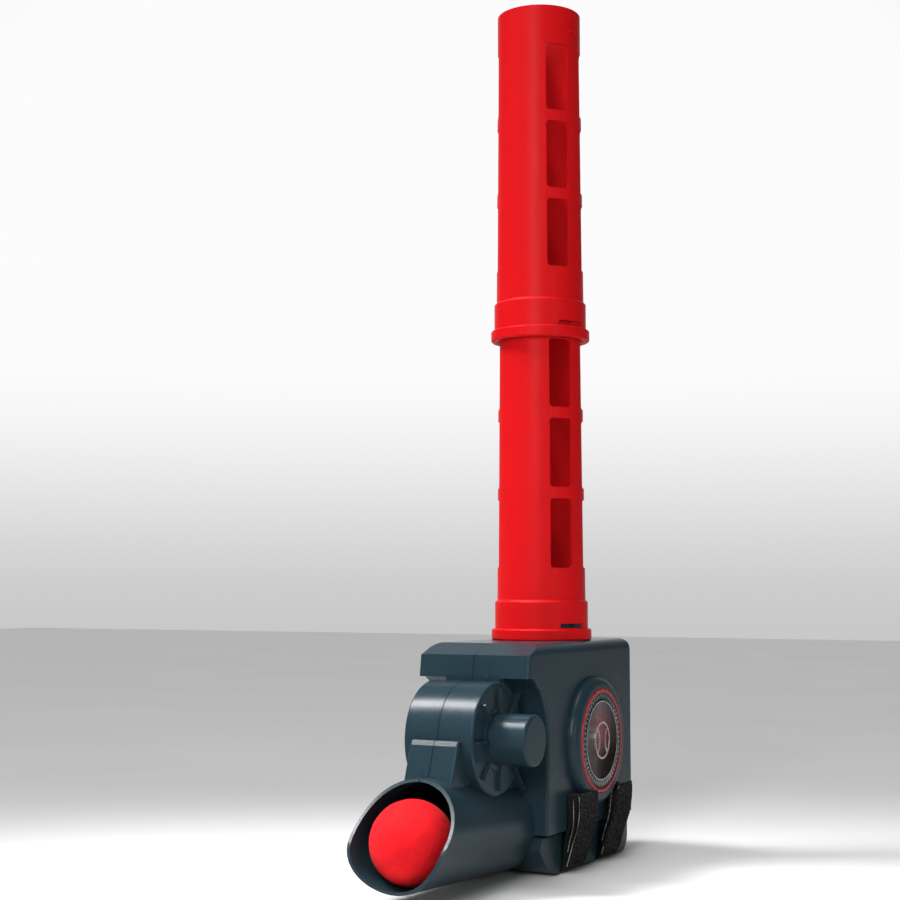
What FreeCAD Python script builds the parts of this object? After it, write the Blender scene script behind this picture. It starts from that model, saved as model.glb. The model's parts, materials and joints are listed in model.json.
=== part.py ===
import FreeCAD, Part
import math
import os
import Sketcher

# Motorised ball launcher with a tall two-section ball magazine.
# Millimetres. X runs across the machine to its right side, -Y is the throwing direction, +Z is up.
# The origin is where the magazine's axis meets the flat underside.

Vector = FreeCAD.Vector
doc = FreeCAD.newDocument("BallLauncher")
sheet = doc.addObject("Spreadsheet::Sheet", "Dims")

DIMENSIONS = [
    # housing, seen from the side
    ("wall", 2.6, "general wall thickness"),
    ("half_width", 50.0, "upper housing half width"),
    ("top_level", 188.3, "flat top of the housing"),
    ("rear_face", 83.0, "rear wall"),
    ("rear_round", 12.0, "upper rear corner radius"),
    ("ledge_level", 35.0, "ledge where the side steps in"),
    ("front_foot", 98.0, "front of the upper housing at the ledge"),
    ("side_round", 2.6, "small rounding of the upper housing's side edges"),
    ("top_round", 9.0, "large rounding of its long top edges"),
    ("visor_reach", 131.0, "visor front"),
    ("visor_low", 161.5, "visor underside"),
    ("visor_edge", 179.5, "top of the visor's front face"),
    ("visor_crease", 105.0, "where the visor starts to slope"),
    ("belly_half_width", 45.0, "lower block half width"),
    ("belly_nose", 101.0, "front of the lower block"),
    ("belly_nose_level", 23.0, "height of that front"),
    ("belly_front_round", 44.6, "radius below the nose"),
    ("belly_flat", 62.0, "where the flat underside starts"),
    ("belly_rear_round", 14.0, "lower rear corner radius"),
    ("belly_floor", 6.0, "inside floor level"),
    # launch wheel drum
    ("drum_behind", 146.0, "drum axis ahead of the magazine"),
    ("drum_level", 115.0, "drum axis height"),
    ("drum_radius", 44.5, "drum outer radius"),
    ("drum_half_width", 30.0, "drum half width"),
    ("drum_round", 2.0, "rounding of the drum's rims"),
    ("drum_relief", 51.5, "radius of the hollow behind the drum"),
    ("web_half_width", 24.0, "web that ties the drum to the housing"),
    ("motor_boss_radius", 20.2, "motor boss outer radius"),
    ("motor_boss_end", 62.6, "right end of the motor boss"),
    ("bearing_boss_radius", 10.0, "left bearing boss radius"),
    ("bearing_boss_end", 36.0, "left end of the bearing boss"),
    # bracket over the barrel
    ("bracket_half_width", 21.0, "bracket half width"),
    ("bracket_top", 116.5, "bracket top"),
    ("bracket_front_top", 197.0, "bracket front at its top"),
    ("bracket_front_low", 208.0, "bracket front where it meets the barrel"),
    # barrel
    ("barrel_root", 97.0, "station where the barrel leaves the housing"),
    ("barrel_root_level", 41.5, "axis height at that station"),
    ("barrel_length", 165.0, "root to beyond the mouth along the axis"),
    ("barrel_inside", 42.0, "length of barrel inside the housing"),
    ("barrel_tilt", 3.6, "degrees the barrel points upward"),
    ("barrel_root_radius", 38.2, "outer radius at the root"),
    ("barrel_growth", 0.0236, "outer radius gained per length"),
    ("mouth_top", 217.0, "mouth edge at the top"),
    ("mouth_side", 249.0, "mouth edge half way down"),
    ("mouth_side_level", 50.0, "height of the edge half way down"),
    ("mouth_low", 252.5, "mouth edge at the bottom"),
    ("mouth_hollow", 220.0, "radius of the edge's upper, hollow stretch"),
    ("mouth_lip", 30.0, "radius of the edge's lower lip"),
    # magazine
    ("tube_length", 295.0, "one magazine section"),
    ("tube_pitch", 261.8, "height gained per section"),
    ("tube_bore", 34.7, "inner radius"),
    ("tube_top_radius", 36.9, "outer radius at the top"),
    ("tube_low_radius", 38.5, "outer radius above the collar"),
    ("tube_plain_top", 34.0, "length without draft at the top"),
    ("tube_lead_radius", 35.2, "radius of the wider mouth at the top"),
    ("tube_lead_depth", 12.0, "depth of that mouth"),
    ("collar_bore", 37.4, "collar inner radius"),
    ("collar_depth", 33.6, "depth of the collar socket"),
    ("collar_radius", 40.5, "collar outer radius"),
    ("collar_top", 34.7, "collar height"),
    ("flange_radius", 43.5, "flange radius"),
    ("flange_height", 9.7, "flange height"),
    ("window_height", 59.6, "ball window height"),
    ("window_first", 62.2, "first window above the flange underside"),
    ("window_pitch", 69.4, "window spacing"),
    ("window_angle", 32.0, "degrees a window spans"),
    ("window_round", 3.0, "window corner radius"),
    ("lug_low", 11.0, "lug underside above the joint"),
    ("lug_height", 3.2, "lug height"),
    ("lug_radius", 39.3, "lug outer radius"),
    ("lug_span", 15.5, "degrees a lug spans"),
    ("lug_bearing", 77.0, "degrees from the throwing direction to the lug"),
    ("lock_turn", 20.0, "degrees turned to unlock a section"),
    ("socket_low", 183.0, "underside of the magazine socket's flange"),
    ("socket_top", 221.0, "top of the magazine socket"),
    ("socket_radius", 36.9, "socket outer radius"),
    ("socket_bore", 34.5, "socket inner radius"),
    ("socket_flange", 39.5, "radius of its flange under the roof"),
    ("lower_windows", 83.5, "degrees to the lower section's window side"),
    ("upper_windows", 81.0, "degrees to the upper section's window side"),
    # feed rotor
    ("rotor_behind", 4.0, "rotor axis ahead of the magazine axis"),
    ("rotor_level", 104.0, "rotor axis height"),
    ("rotor_radius", 47.0, "rotor radius"),
    ("rotor_half_width", 38.0, "rotor half width with its end discs"),
    ("pocket_half_width", 35.0, "half width of the ball pocket"),
    ("pocket_radius", 34.0, "radius of the ball pocket"),
    ("pocket_rise", 13.0, "pocket centre above the rotor axis"),
    ("axle_radius", 4.0, "rotor stub axle radius"),
    ("axle_left", 46.4, "left end of the left stub axle"),
    ("axle_right", 50.5, "right end of the right stub axle"),
    ("running_gap", 0.05, "radial clearance of running fits"),
    ("feed_gear_start", 40.5, "feed gear inner face"),
    ("feed_gear_width", 5.0, "feed gear thickness"),
    ("gear_module", 1.25, "gear module"),
    ("gear_teeth", 80, "teeth on the feed gear"),
    ("pinion_teeth", 16, "teeth on the pinion"),
    ("gear_backlash", 0.12, "thinning of each tooth"),
    ("feed_motor_back", 36.0, "feed motor axis behind the magazine axis"),
    ("feed_motor_radius", 12.0, "feed gearmotor radius"),
    # badge boss on the right side
    ("badge_boss_radius", 54.0, "raised round boss"),
    ("badge_boss_end", 58.0, "outer face of the boss"),
    ("badge_boss_round", 7.0, "rounded shoulder of the boss"),
    ("badge_radius", 43.5, "badge disc radius"),
    ("badge_thickness", 1.6, "badge disc thickness"),
    ("badge_recess", 1.2, "depth of its seat"),
    # launch wheel and motor
    ("wheel_radius", 39.5, "tyre radius"),
    ("hub_radius", 30.0, "wheel hub radius"),
    ("wheel_half_width", 12.0, "wheel half width"),
    ("shaft_radius", 2.0, "motor shaft radius"),
    ("launch_motor_radius", 17.6, "launch motor can radius"),
    ("launch_motor_start", 17.0, "launch motor front face"),
    ("launch_motor_end", 57.0, "launch motor rear face"),
    # ball
    ("ball_radius", 32.5, "65 mm foam ball"),
    ("ball_station", 230.0, "where the loaded ball sits"),
    # battery compartment
    ("door_half_width", 30.0, "battery door half width"),
    ("door_low", 12.4, "battery door lower edge"),
    ("door_top", 125.0, "battery door upper edge"),
    ("door_gap", 0.6, "gap round the battery door"),
    ("hinge_level", 14.0, "battery door hinge axis height"),
    ("hinge_back", 80.6, "battery door hinge axis"),
    ("hinge_knuckle", 2.2, "door knuckle radius"),
    ("hinge_pin", 1.0, "hinge pin radius"),
    ("box_front", 49.5, "front of the battery box"),
    ("box_rear", 78.0, "rear of the battery box"),
    ("box_half_width", 29.5, "battery box half width"),
    ("box_low", 8.0, "battery box underside"),
    ("box_top", 116.0, "battery box top"),
    ("box_wall", 1.5, "battery box wall"),
    ("cell_radius", 13.1, "C cell radius"),
    ("cell_length", 49.5, "C cell length"),
    ("cell_offset", 14.0, "cell axis from the middle"),
    ("cell_back", 64.4, "cell axis behind the magazine"),
    ("cell_low", 13.0, "bottom of the lower cells"),
    # switch
    ("switch_level", 150.0, "slide switch height"),
    ("switch_travel", 6.0, "slide switch travel"),
    # straps
    ("strap_width", 38.0, "hook and loop strap width"),
    ("strap_front_start", 62.0, "front strap's front edge"),
    ("strap_rear_start", 10.5, "rear strap's front edge"),
    ("strap_groove", 3.4, "depth of the groove under the housing"),
    ("strap_gap", 0.4, "clearance of a strap in its groove"),
    ("strap_top", 65.0, "upper end of the folded straps"),
    # assembly screws
    ("screw_radius", 1.5, "self tapping screw shank"),
    ("screw_head", 3.0, "screw head radius"),
    ("screw_post", 4.5, "screw post radius"),
]
for row, (alias, value, note) in enumerate(DIMENSIONS, start=1):
    sheet.set(f"A{row}", alias)
    sheet.set(f"B{row}", str(value))
    sheet.setAlias(f"B{row}", alias)
    sheet.set(f"C{row}", note)
doc.recompute()


class Size:
    """A length that knows its value and the spreadsheet expression it comes from."""

    def __init__(self, value, text):
        self.value = float(value)
        self.text = text

    def __neg__(self):
        return Size(-self.value, f"-({self.text})")

    def __add__(self, other):
        other = as_size(other)
        return Size(self.value + other.value, f"({self.text} + {other.text})")

    def __sub__(self, other):
        other = as_size(other)
        return Size(self.value - other.value, f"({self.text} - {other.text})")

    def __mul__(self, other):
        other = as_size(other)
        return Size(self.value * other.value, f"({self.text} * {other.text})")

    def __truediv__(self, other):
        other = as_size(other)
        return Size(self.value / other.value, f"({self.text} / {other.text})")

    def __radd__(self, other):
        return as_size(other) + self

    def __rsub__(self, other):
        return as_size(other) - self

    def __rmul__(self, other):
        return as_size(other) * self


def as_size(number):
    return number if isinstance(number, Size) else Size(number, repr(float(number)))


def dim(alias):
    return Size(sheet.get(alias), f"Dims.{alias}")


def sine(angle):
    return Size(math.sin(math.radians(angle.value)), f"sin({angle.text})")


def cosine(angle):
    return Size(math.cos(math.radians(angle.value)), f"cos({angle.text})")


def tangent(angle):
    return Size(math.tan(math.radians(angle.value)), f"tan({angle.text})")


def bind(thing, **properties):
    for name, size in properties.items():
        path = name.replace("__", ".")
        thing.setExpression(path, as_size(size).text)


# ---------------------------------------------------------------- sketches and features

PLANES = {"top": "XY_Plane", "front": "XZ_Plane", "side": "YZ_Plane"}
sub_parts = []


def new_body(label):
    body = doc.addObject("PartDesign::Body", label)
    body.Label = label
    sub_parts.append(body)
    return body


def sketch_on(body, plane, offset=None):
    """An empty sketch on one of the body's own origin planes, shifted along the plane's normal."""
    sketch = body.newObject("Sketcher::SketchObject", f"{body.Name}_sketch")
    role = PLANES[plane]
    origin_plane = [item for item in body.Origin.OriginFeatures if item.Role == role][0]
    sketch.AttachmentSupport = [(origin_plane, "")]
    sketch.MapMode = "FlatFace"
    if offset is not None:
        bind(sketch, AttachmentOffset__Base__z=offset)
    return sketch


def hold(sketch, size, kind, *geometry):
    """Add a dimension to the sketch and bind it to the spreadsheet."""
    number = sketch.addConstraint(Sketcher.Constraint(kind, *geometry, size.value))
    sketch.renameConstraint(number, f"c{number}")
    sketch.setExpression(f"Constraints.c{number}", size.text)


def pin_point(sketch, edge, end, u, v):
    """Hold one end of an edge at bound coordinates."""
    hold(sketch, as_size(u), "DistanceX", -1, 1, edge, end)
    hold(sketch, as_size(v), "DistanceY", -1, 1, edge, end)


def arc_centre(start, end, radius):
    """Centre of the arc from start to end; a positive radius has it on the left of the way."""
    middle = (start + end) * 0.5
    along = end - start
    reach = math.sqrt(max(radius * radius - along.Length ** 2 / 4.0, 0.0))
    left = Vector(-along.y, along.x, 0).normalize()
    return middle + left * math.copysign(reach, radius)


def outline(sketch, corners):
    """Closed outline. A corner is (u, v), or (u, v, radius) where an arc leads to the next one."""
    points = [Vector(as_size(c[0]).value, as_size(c[1]).value, 0) for c in corners]
    ends = []
    for index, corner in enumerate(corners):
        start = points[index]
        finish = points[(index + 1) % len(points)]
        if len(corner) == 2:
            edge = sketch.addGeometry(Part.LineSegment(start, finish))
            ends.append((edge, 1, 2))
            continue
        radius = as_size(corner[2])
        centre = arc_centre(start, finish, radius.value)
        first, last = (start, finish) if radius.value > 0 else (finish, start)
        angles = [math.atan2(p.y - centre.y, p.x - centre.x) for p in (first, last)]
        circle = Part.Circle(centre, Vector(0, 0, 1), abs(radius.value))
        edge = sketch.addGeometry(Part.ArcOfCircle(circle, angles[0], angles[1]))
        ends.append((edge, 1, 2) if radius.value > 0 else (edge, 2, 1))
        if abs((finish - start).Length - 2 * abs(radius.value)) > 1e-6:
            size = radius if radius.value > 0 else -radius
            hold(sketch, size, "Radius", edge)
        elif abs(finish.x - start.x) < abs(finish.y - start.y):
            hold(sketch, as_size(corner[0]), "DistanceX", -1, 1, edge, 3)
        else:
            hold(sketch, as_size(corner[1]), "DistanceY", -1, 1, edge, 3)
    for index, (edge, _, finish) in enumerate(ends):
        following, start, _ = ends[(index + 1) % len(ends)]
        sketch.addConstraint(Sketcher.Constraint("Coincident", edge, finish, following, start))
    for corner, (edge, start, _) in zip(corners, ends):
        pin_point(sketch, edge, start, corner[0], corner[1])


def circle(sketch, u, v, radius):
    radius = as_size(radius)
    centre = Vector(as_size(u).value, as_size(v).value, 0)
    edge = sketch.addGeometry(Part.Circle(centre, Vector(0, 0, 1), radius.value))
    hold(sketch, radius, "Radius", edge)
    pin_point(sketch, edge, 3, u, v)


def rectangle(sketch, u0, v0, u1, v1):
    outline(sketch, [(u0, v0), (u1, v0), (u1, v1), (u0, v1)])


def axis_line(sketch, start, finish):
    """A construction line that a revolution turns about."""
    points = [Vector(as_size(u).value, as_size(v).value, 0) for u, v in (start, finish)]
    edge = sketch.addGeometry(Part.LineSegment(points[0], points[1]), True)
    pin_point(sketch, edge, 1, *start)
    pin_point(sketch, edge, 2, *finish)


def pad(body, sketch, length, toward=1, both_ways=False):
    feature = body.newObject("PartDesign::Pad", f"{body.Name}_pad")
    feature.Profile = sketch
    feature.Midplane = both_ways
    feature.Reversed = toward < 0
    bind(feature, Length=length)
    settle(body, feature, 1)
    return feature


def pocket(body, sketch, length, toward=1, both_ways=False):
    """Cut along the sketch's normal when toward is positive, against it otherwise."""
    feature = body.newObject("PartDesign::Pocket", f"{body.Name}_pocket")
    feature.Profile = sketch
    feature.Midplane = both_ways
    feature.Reversed = toward > 0
    bind(feature, Length=length)
    settle(body, feature, -1)
    return feature


def revolve(body, sketch, axis, angle=360.0, toward=1, cut=False):
    kind = "PartDesign::Groove" if cut else "PartDesign::Revolution"
    feature = body.newObject(kind, f"{body.Name}_turned")
    feature.Profile = sketch
    feature.ReferenceAxis = (sketch, [axis])
    feature.Angle = angle
    feature.Reversed = toward < 0
    settle(body, feature, -1 if cut else 1)
    return feature


def settle(body, feature, direction):
    """Recompute, and stop when a feature failed or changed nothing."""
    before = 0.0
    if feature.BaseFeature is not None:
        before = feature.BaseFeature.Shape.Volume
    body.Tip = feature
    doc.recompute()
    gained = feature.Shape.Volume - before
    if "Invalid" in feature.State or gained * direction < 1e-3:
        raise RuntimeError(f"{feature.Name} changes the volume by {gained:.3f} mm3")


def round_edges(body, radius, wanted):
    """Round every edge of the body's present shape that the wanted test picks."""
    base = body.Tip
    names = [f"Edge{n}" for n, edge in enumerate(base.Shape.Edges, start=1) if wanted(edge)]
    if not names:
        raise RuntimeError(f"no edge to round on {body.Label}")
    feature = body.newObject("PartDesign::Fillet", f"{body.Name}_round")
    feature.Base = (base, names)
    bind(feature, Radius=radius)
    body.Tip = feature
    doc.recompute()
    if "Invalid" in feature.State or feature.Shape.isNull():
        raise RuntimeError(f"{feature.Name} failed")


def near(a, b, tolerance=0.02):
    return abs(a - as_size(b).value) < tolerance


def primitive(kind, name, **sizes):
    thing = doc.addObject(f"Part::{kind}", name)
    bind(thing, **sizes)
    return thing


def lay_along_x(thing):
    """Turn a cylinder so that its axis runs along +X."""
    thing.Placement = FreeCAD.Placement(Vector(0, 0, 0), FreeCAD.Rotation(Vector(0, 1, 0), 90))


def place(thing, x=0.0, y=0.0, z=0.0):
    bind(thing, Placement__Base__x=x, Placement__Base__y=y, Placement__Base__z=z)


def x_cylinder(name, radius, start, end, y, z):
    """A cylinder along X between two stations."""
    rod = primitive("Cylinder", name, Radius=radius, Height=as_size(end) - start)
    lay_along_x(rod)
    place(rod, start, y, z)
    return rod


def x_box(name, x0, x1, y0, y1, z0, z1):
    block = primitive("Box", name, Length=as_size(x1) - x0, Width=as_size(y1) - y0,
                      Height=as_size(z1) - z0)
    place(block, x0, y0, z0)
    return block


def cut_shape(name, base, tool):
    result = doc.addObject("Part::Cut", name)
    result.Base = base
    result.Tool = tool
    return result


def fuse_shapes(name, shapes):
    result = doc.addObject("Part::MultiFuse", name)
    result.Shapes = shapes
    return result


def group_shapes(name, shapes):
    """Separate solids that share one sub-part."""
    result = doc.addObject("Part::Compound", name)
    result.Links = shapes
    return result


def finish(thing, label):
    thing.Label = label
    sub_parts.append(thing)
    return thing


# ---------------------------------------------------------------- shared places

wall = dim("wall")
drum_y = -dim("drum_behind")
drum_z = dim("drum_level")
rotor_y = -dim("rotor_behind")
rotor_z = dim("rotor_level")
axis_slope = tangent(dim("barrel_tilt"))
gear_radius = dim("gear_module") * dim("gear_teeth") / 2
pinion_radius = dim("gear_module") * dim("pinion_teeth") / 2
gear_distance = gear_radius + pinion_radius
feed_motor_y = dim("feed_motor_back")
feed_motor_drop = Size(
    math.sqrt(gear_distance.value ** 2 - (feed_motor_y - rotor_y).value ** 2),
    f"sqrt({gear_distance.text} ^ 2 - {(feed_motor_y - rotor_y).text} ^ 2)")
feed_motor_z = rotor_z - feed_motor_drop
STRAP_STARTS = (-dim("strap_front_start"), dim("strap_rear_start"))
# Screw posts that join the halves: (Y, Z, depth of the screw head's outer end on the left)
SCREWS = [(-75.0, 172.0, 44.0), (68.0, 168.0, 44.0), (-22.0, 16.5, 38.0), (32.0, 16.5, 38.0),
          (-190.5, 99.0, 16.0)]


def barrel_axis_level(y):
    """Height of the barrel's axis at a station along Y."""
    return dim("barrel_root_level") - axis_slope * (as_size(y) + dim("barrel_root"))


# ---------------------------------------------------------------- housing halves

def upper_outline(inset):
    """Side view of the upper housing, moved inward by the inset."""
    relief = dim("drum_relief") + inset
    low = dim("visor_low") + inset
    foot = dim("ledge_level") - inset
    meet_low = Size(math.sqrt(relief.value ** 2 - (low - drum_z).value ** 2),
                    f"sqrt({relief.text} ^ 2 - {(low - drum_z).text} ^ 2)")
    top = dim("top_level") - inset
    rear = dim("rear_face") - inset
    corner = dim("rear_round") - inset
    return [
        (-dim("front_foot") + inset, foot),
        (drum_y + relief, drum_z, relief),
        (drum_y + meet_low, low),
        (-dim("visor_reach") + inset, low),
        (-dim("visor_reach") + inset + 2.5, dim("visor_edge") - inset),
        (-dim("visor_crease"), top),
        (rear - corner, top, -corner),
        (rear, top - corner),
        (rear, foot),
    ]


def belly_outline(inset, floor, corner):
    """Side view of the lower block, moved inward by the inset, with its floor and rear corner."""
    nose = -dim("belly_nose") + inset
    rear = dim("rear_face") - inset
    return [
        (nose, dim("belly_nose_level"), dim("belly_front_round") - inset),
        (-dim("belly_flat"), floor),
        (rear - corner, floor, corner),
        (rear, floor + corner),
        (rear, dim("ledge_level") + 1),
        (-dim("belly_nose") + 12 + inset, dim("ledge_level") + 1),
        (-dim("belly_nose") + 12 + inset, dim("belly_nose_level") + 12, 12),
    ]


def barrel_half_profile(radius_cut):
    """Half section of the barrel above its tilted axis, and the axis's two end points."""
    tilt = dim("barrel_tilt")
    ends = []
    for station in (-dim("barrel_inside"), dim("barrel_length")):
        y = -dim("barrel_root") - station * cosine(tilt)
        z = dim("barrel_root_level") + station * sine(tilt)
        radius = dim("barrel_root_radius") + station * dim("barrel_growth") - radius_cut
        ends.append((y, z, y + radius * sine(tilt), z + radius * cosine(tilt)))
    return ends


def add_barrel(body, toward, radius_cut, cut):
    sketch = sketch_on(body, "side")
    inner, outer = barrel_half_profile(radius_cut)
    outline(sketch, [(inner[0], inner[1]), (outer[0], outer[1]),
                     (outer[2], outer[3]), (inner[2], inner[3])])
    axis_line(sketch, inner[:2], outer[:2])
    revolve(body, sketch, "Axis0", 180.0, -toward, cut)


def add_outer_shape(body, side):
    sketch = sketch_on(body, "side")
    outline(sketch, upper_outline(as_size(0)))
    pad(body, sketch, dim("half_width"), side)
    face = dim("half_width").value * side

    def side_edge(edge):
        """Every edge of the side face but the two level ones below the roof."""
        box = edge.BoundBox
        level = box.ZLength < 1 and box.ZMax < dim("top_level").value - 1
        return near(box.XMin, face) and near(box.XMax, face) and not level

    round_edges(body, dim("side_round"), side_edge)

    sketch = sketch_on(body, "side")
    outline(sketch, belly_outline(as_size(0), as_size(0), dim("belly_rear_round")))
    pad(body, sketch, dim("belly_half_width"), side)

    sketch = sketch_on(body, "side")
    circle(sketch, drum_y, drum_z, dim("drum_radius"))
    pad(body, sketch, dim("drum_half_width"), side)
    rim = dim("drum_half_width").value * side

    def drum_edge(edge):
        return near(edge.BoundBox.XMin, rim) and near(edge.BoundBox.XMax, rim)

    round_edges(body, dim("drum_round"), drum_edge)

    sketch = sketch_on(body, "side")
    rectangle(sketch, drum_y + 14, drum_z - 42, -dim("front_foot") + 8, dim("visor_low") + 2)
    pad(body, sketch, dim("web_half_width"), side)

    sketch = sketch_on(body, "side")
    top = dim("bracket_top")
    outline(sketch, [
        (-dim("bracket_front_low"), drum_z - 33), (drum_y, drum_z - 33), (drum_y, top),
        (-dim("bracket_front_top") + 2.5, top), (-dim("bracket_front_top"), top - 3.5)])
    pad(body, sketch, dim("bracket_half_width"), side)
    bracket_x = dim("bracket_half_width").value * side

    def bracket_edge(edge):
        box = edge.BoundBox
        return (near(box.XMin, bracket_x) and near(box.XMax, bracket_x)
                and box.YMax < -dim("drum_behind").value - 30 and box.ZMax > 100)

    round_edges(body, 1.6, bracket_edge)
    add_barrel(body, side, as_size(0), False)


def cut_mouth(body):
    """Cut the muzzle along a curve that leaves its lower lip standing forward."""
    top = barrel_axis_level(-dim("mouth_top")) + 44
    middle = dim("mouth_side_level")
    low = middle - 44
    sketch = sketch_on(body, "side")
    outline(sketch, [
        (-dim("mouth_top"), top, -dim("mouth_hollow")),
        (-dim("mouth_side"), middle, dim("mouth_lip")), (-dim("mouth_low"), low),
        (-dim("mouth_low") - 40, low), (-dim("mouth_low") - 40, top + 20),
        (-dim("mouth_top"), top + 20)])
    pocket(body, sketch, 200, both_ways=True)


def add_cavity(body, side):
    sketch = sketch_on(body, "side")
    outline(sketch, upper_outline(wall))
    pocket(body, sketch, dim("half_width") - wall, side)

    sketch = sketch_on(body, "side")
    outline(sketch, belly_outline(wall, dim("belly_floor"), as_size(5)))
    pocket(body, sketch, dim("belly_half_width") - wall, side)

    sketch = sketch_on(body, "side")
    circle(sketch, drum_y, drum_z, dim("drum_radius") - wall)
    pocket(body, sketch, dim("drum_half_width") - wall, side)
    add_barrel(body, side, wall, True)


def round_top_edge(body, side):
    """Round the long top edge, with the wall filled in behind it so that it keeps its thickness."""
    half = dim("half_width") * side
    top = dim("top_level")
    radius = dim("top_round")
    inner = radius - wall
    strip = sketch_on(body, "front", -as_size(76))
    centre_x = half - radius * side
    centre_z = top - radius
    outline(strip, [
        (centre_x, centre_z + inner, -inner * side), (centre_x + inner * side, centre_z),
        (half - (wall - 0.5) * side, centre_z), (half - (wall - 0.5) * side, top - wall + 0.5),
        (centre_x, top - wall + 0.5)])
    pad(body, strip, 184)
    waste = sketch_on(body, "front")
    outline(waste, [
        (centre_x, top, -radius * side), (half, centre_z), (half + 5 * side, centre_z),
        (half + 5 * side, top + 5), (centre_x, top + 5)])
    pocket(body, waste, 400, both_ways=True)


def cut_roof_hole(body):
    """The round hole in the roof that the magazine socket stands in."""
    hole = sketch_on(body, "top", dim("top_level") - 12)
    circle(hole, 0, 0, dim("socket_radius") + dim("running_gap"))
    pocket(body, hole, 24)


def add_screw_posts(body, side):
    for y, z, seat in SCREWS:
        if y > -150:
            sketch = sketch_on(body, "side")
            circle(sketch, y, z, dim("screw_post"))
            reach = dim("half_width") - 1 if z > 40 else dim("belly_half_width") - 1
            pad(body, sketch, reach, side)
        if side > 0:
            sketch = sketch_on(body, "side")
            circle(sketch, y, z, dim("screw_radius"))
            pocket(body, sketch, 11, side)
            continue
        sketch = sketch_on(body, "side")
        circle(sketch, y, z, dim("screw_radius") + 0.1)
        pocket(body, sketch, seat, side)
        sketch = sketch_on(body, "side", -as_size(seat - 2))
        circle(sketch, y, z, dim("screw_head") + 0.3)
        pocket(body, sketch, 40, side)


def add_strap_grooves(body):
    for start in STRAP_STARTS:
        sketch = sketch_on(body, "side")
        rectangle(sketch, start - 0.6, -5, start + dim("strap_width") + 0.6, dim("strap_groove"))
        pocket(body, sketch, 200, both_ways=True)


def add_rear_openings(body, side):
    """The battery door's opening, its hinge pin holes and the switch slot."""
    gap = dim("door_gap")
    sketch = sketch_on(body, "front", -dim("rear_face") - 5)
    rectangle(sketch, 0, dim("door_low") - 1.5, (dim("door_half_width") + gap) * side,
              dim("door_top") + gap)
    pocket(body, sketch, 12)
    pin = sketch_on(body, "side")
    circle(pin, dim("hinge_back"), dim("hinge_level"), dim("hinge_pin"))
    pocket(body, pin, dim("door_half_width") + 3.2, side)
    slot = sketch_on(body, "front", -dim("rear_face") - 5)
    rectangle(slot, 0, dim("switch_level") - 4, as_size(9) * side, dim("switch_level") + 4)
    pocket(body, slot, 12)


def build_half(label, side):
    body = new_body(label)
    add_outer_shape(body, side)
    if side > 0:
        add_badge_boss(body)
        add_motor_boss(body)
    else:
        sketch = sketch_on(body, "side", -dim("drum_half_width"))
        circle(sketch, drum_y, drum_z, dim("bearing_boss_radius"))
        pad(body, sketch, dim("bearing_boss_end") - dim("drum_half_width"), side)
    cut_mouth(body)
    add_cavity(body, side)
    round_top_edge(body, side)
    cut_roof_hole(body)
    add_screw_posts(body, side)
    if side > 0:
        hollow_right(body)
    else:
        hollow_left(body)
    add_strap_grooves(body)
    add_rear_openings(body, side)
    return body


def add_badge_boss(body):
    sketch = sketch_on(body, "side", dim("half_width") - 6)
    circle(sketch, rotor_y, rotor_z, dim("badge_boss_radius"))
    pad(body, sketch, dim("badge_boss_end") - dim("half_width") + 6)

    def rim(edge):
        box = edge.BoundBox
        return near(box.XMin, dim("badge_boss_end")) and near(box.XMax, dim("badge_boss_end"))

    round_edges(body, dim("badge_boss_round"), rim)
    seat = sketch_on(body, "side", dim("badge_boss_end") - dim("badge_recess"))
    circle(seat, rotor_y, rotor_z, dim("badge_radius") + 0.4)
    pocket(body, seat, 10)


def add_motor_boss(body):
    """The closed motor boss with its raised ring and the ribs that stiffen the drum's face."""
    face = dim("drum_half_width")
    sketch = sketch_on(body, "side", face - 1)
    circle(sketch, drum_y, drum_z, dim("motor_boss_radius"))
    pad(body, sketch, dim("motor_boss_end") - face + 1)

    def rim(edge):
        box = edge.BoundBox
        return near(box.XMin, dim("motor_boss_end")) and near(box.XMax, dim("motor_boss_end"))

    round_edges(body, 2.4, rim)
    ring = sketch_on(body, "side", face - 1)
    circle(ring, drum_y, drum_z, dim("motor_boss_radius") + 4.5)
    pad(body, ring, 2.2)
    for number in range(8):
        reach = {5: 62, 7: 48}.get(number, 40)
        rib = sketch_on(body, "side", face - 1)
        angle = as_size(90 + 45 * number)
        inner = dim("motor_boss_radius") - 1
        outer = as_size(reach)
        half = as_size(0.9)
        along_u, along_v = cosine(angle), sine(angle)
        outline(rib, [
            (drum_y + inner * along_u - half * along_v, drum_z + inner * along_v + half * along_u),
            (drum_y + inner * along_u + half * along_v, drum_z + inner * along_v - half * along_u),
            (drum_y + outer * along_u + half * along_v, drum_z + outer * along_v - half * along_u),
            (drum_y + outer * along_u - half * along_v, drum_z + outer * along_v + half * along_u)])
        pad(body, rib, 4.2)


def hollow_right(body):
    """Room for the feed gear, the rotor's bearing and the launch motor in the right half."""
    sketch = sketch_on(body, "side")
    circle(sketch, rotor_y, rotor_z, dim("badge_boss_radius") - dim("badge_boss_round"))
    pocket(body, sketch, dim("badge_boss_end") - dim("badge_recess") - wall)
    boss = sketch_on(body, "side", dim("feed_gear_start") + dim("feed_gear_width") + 1.5)
    circle(boss, rotor_y, rotor_z, 8)
    pad(body, boss, 8)
    hole = sketch_on(body, "side")
    circle(hole, rotor_y, rotor_z, dim("axle_radius") + dim("running_gap"))
    pocket(body, hole, dim("axle_right") + 0.5)
    motor = sketch_on(body, "side")
    circle(motor, drum_y, drum_z, dim("launch_motor_radius"))
    pocket(body, motor, dim("motor_boss_end") - wall)


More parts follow.
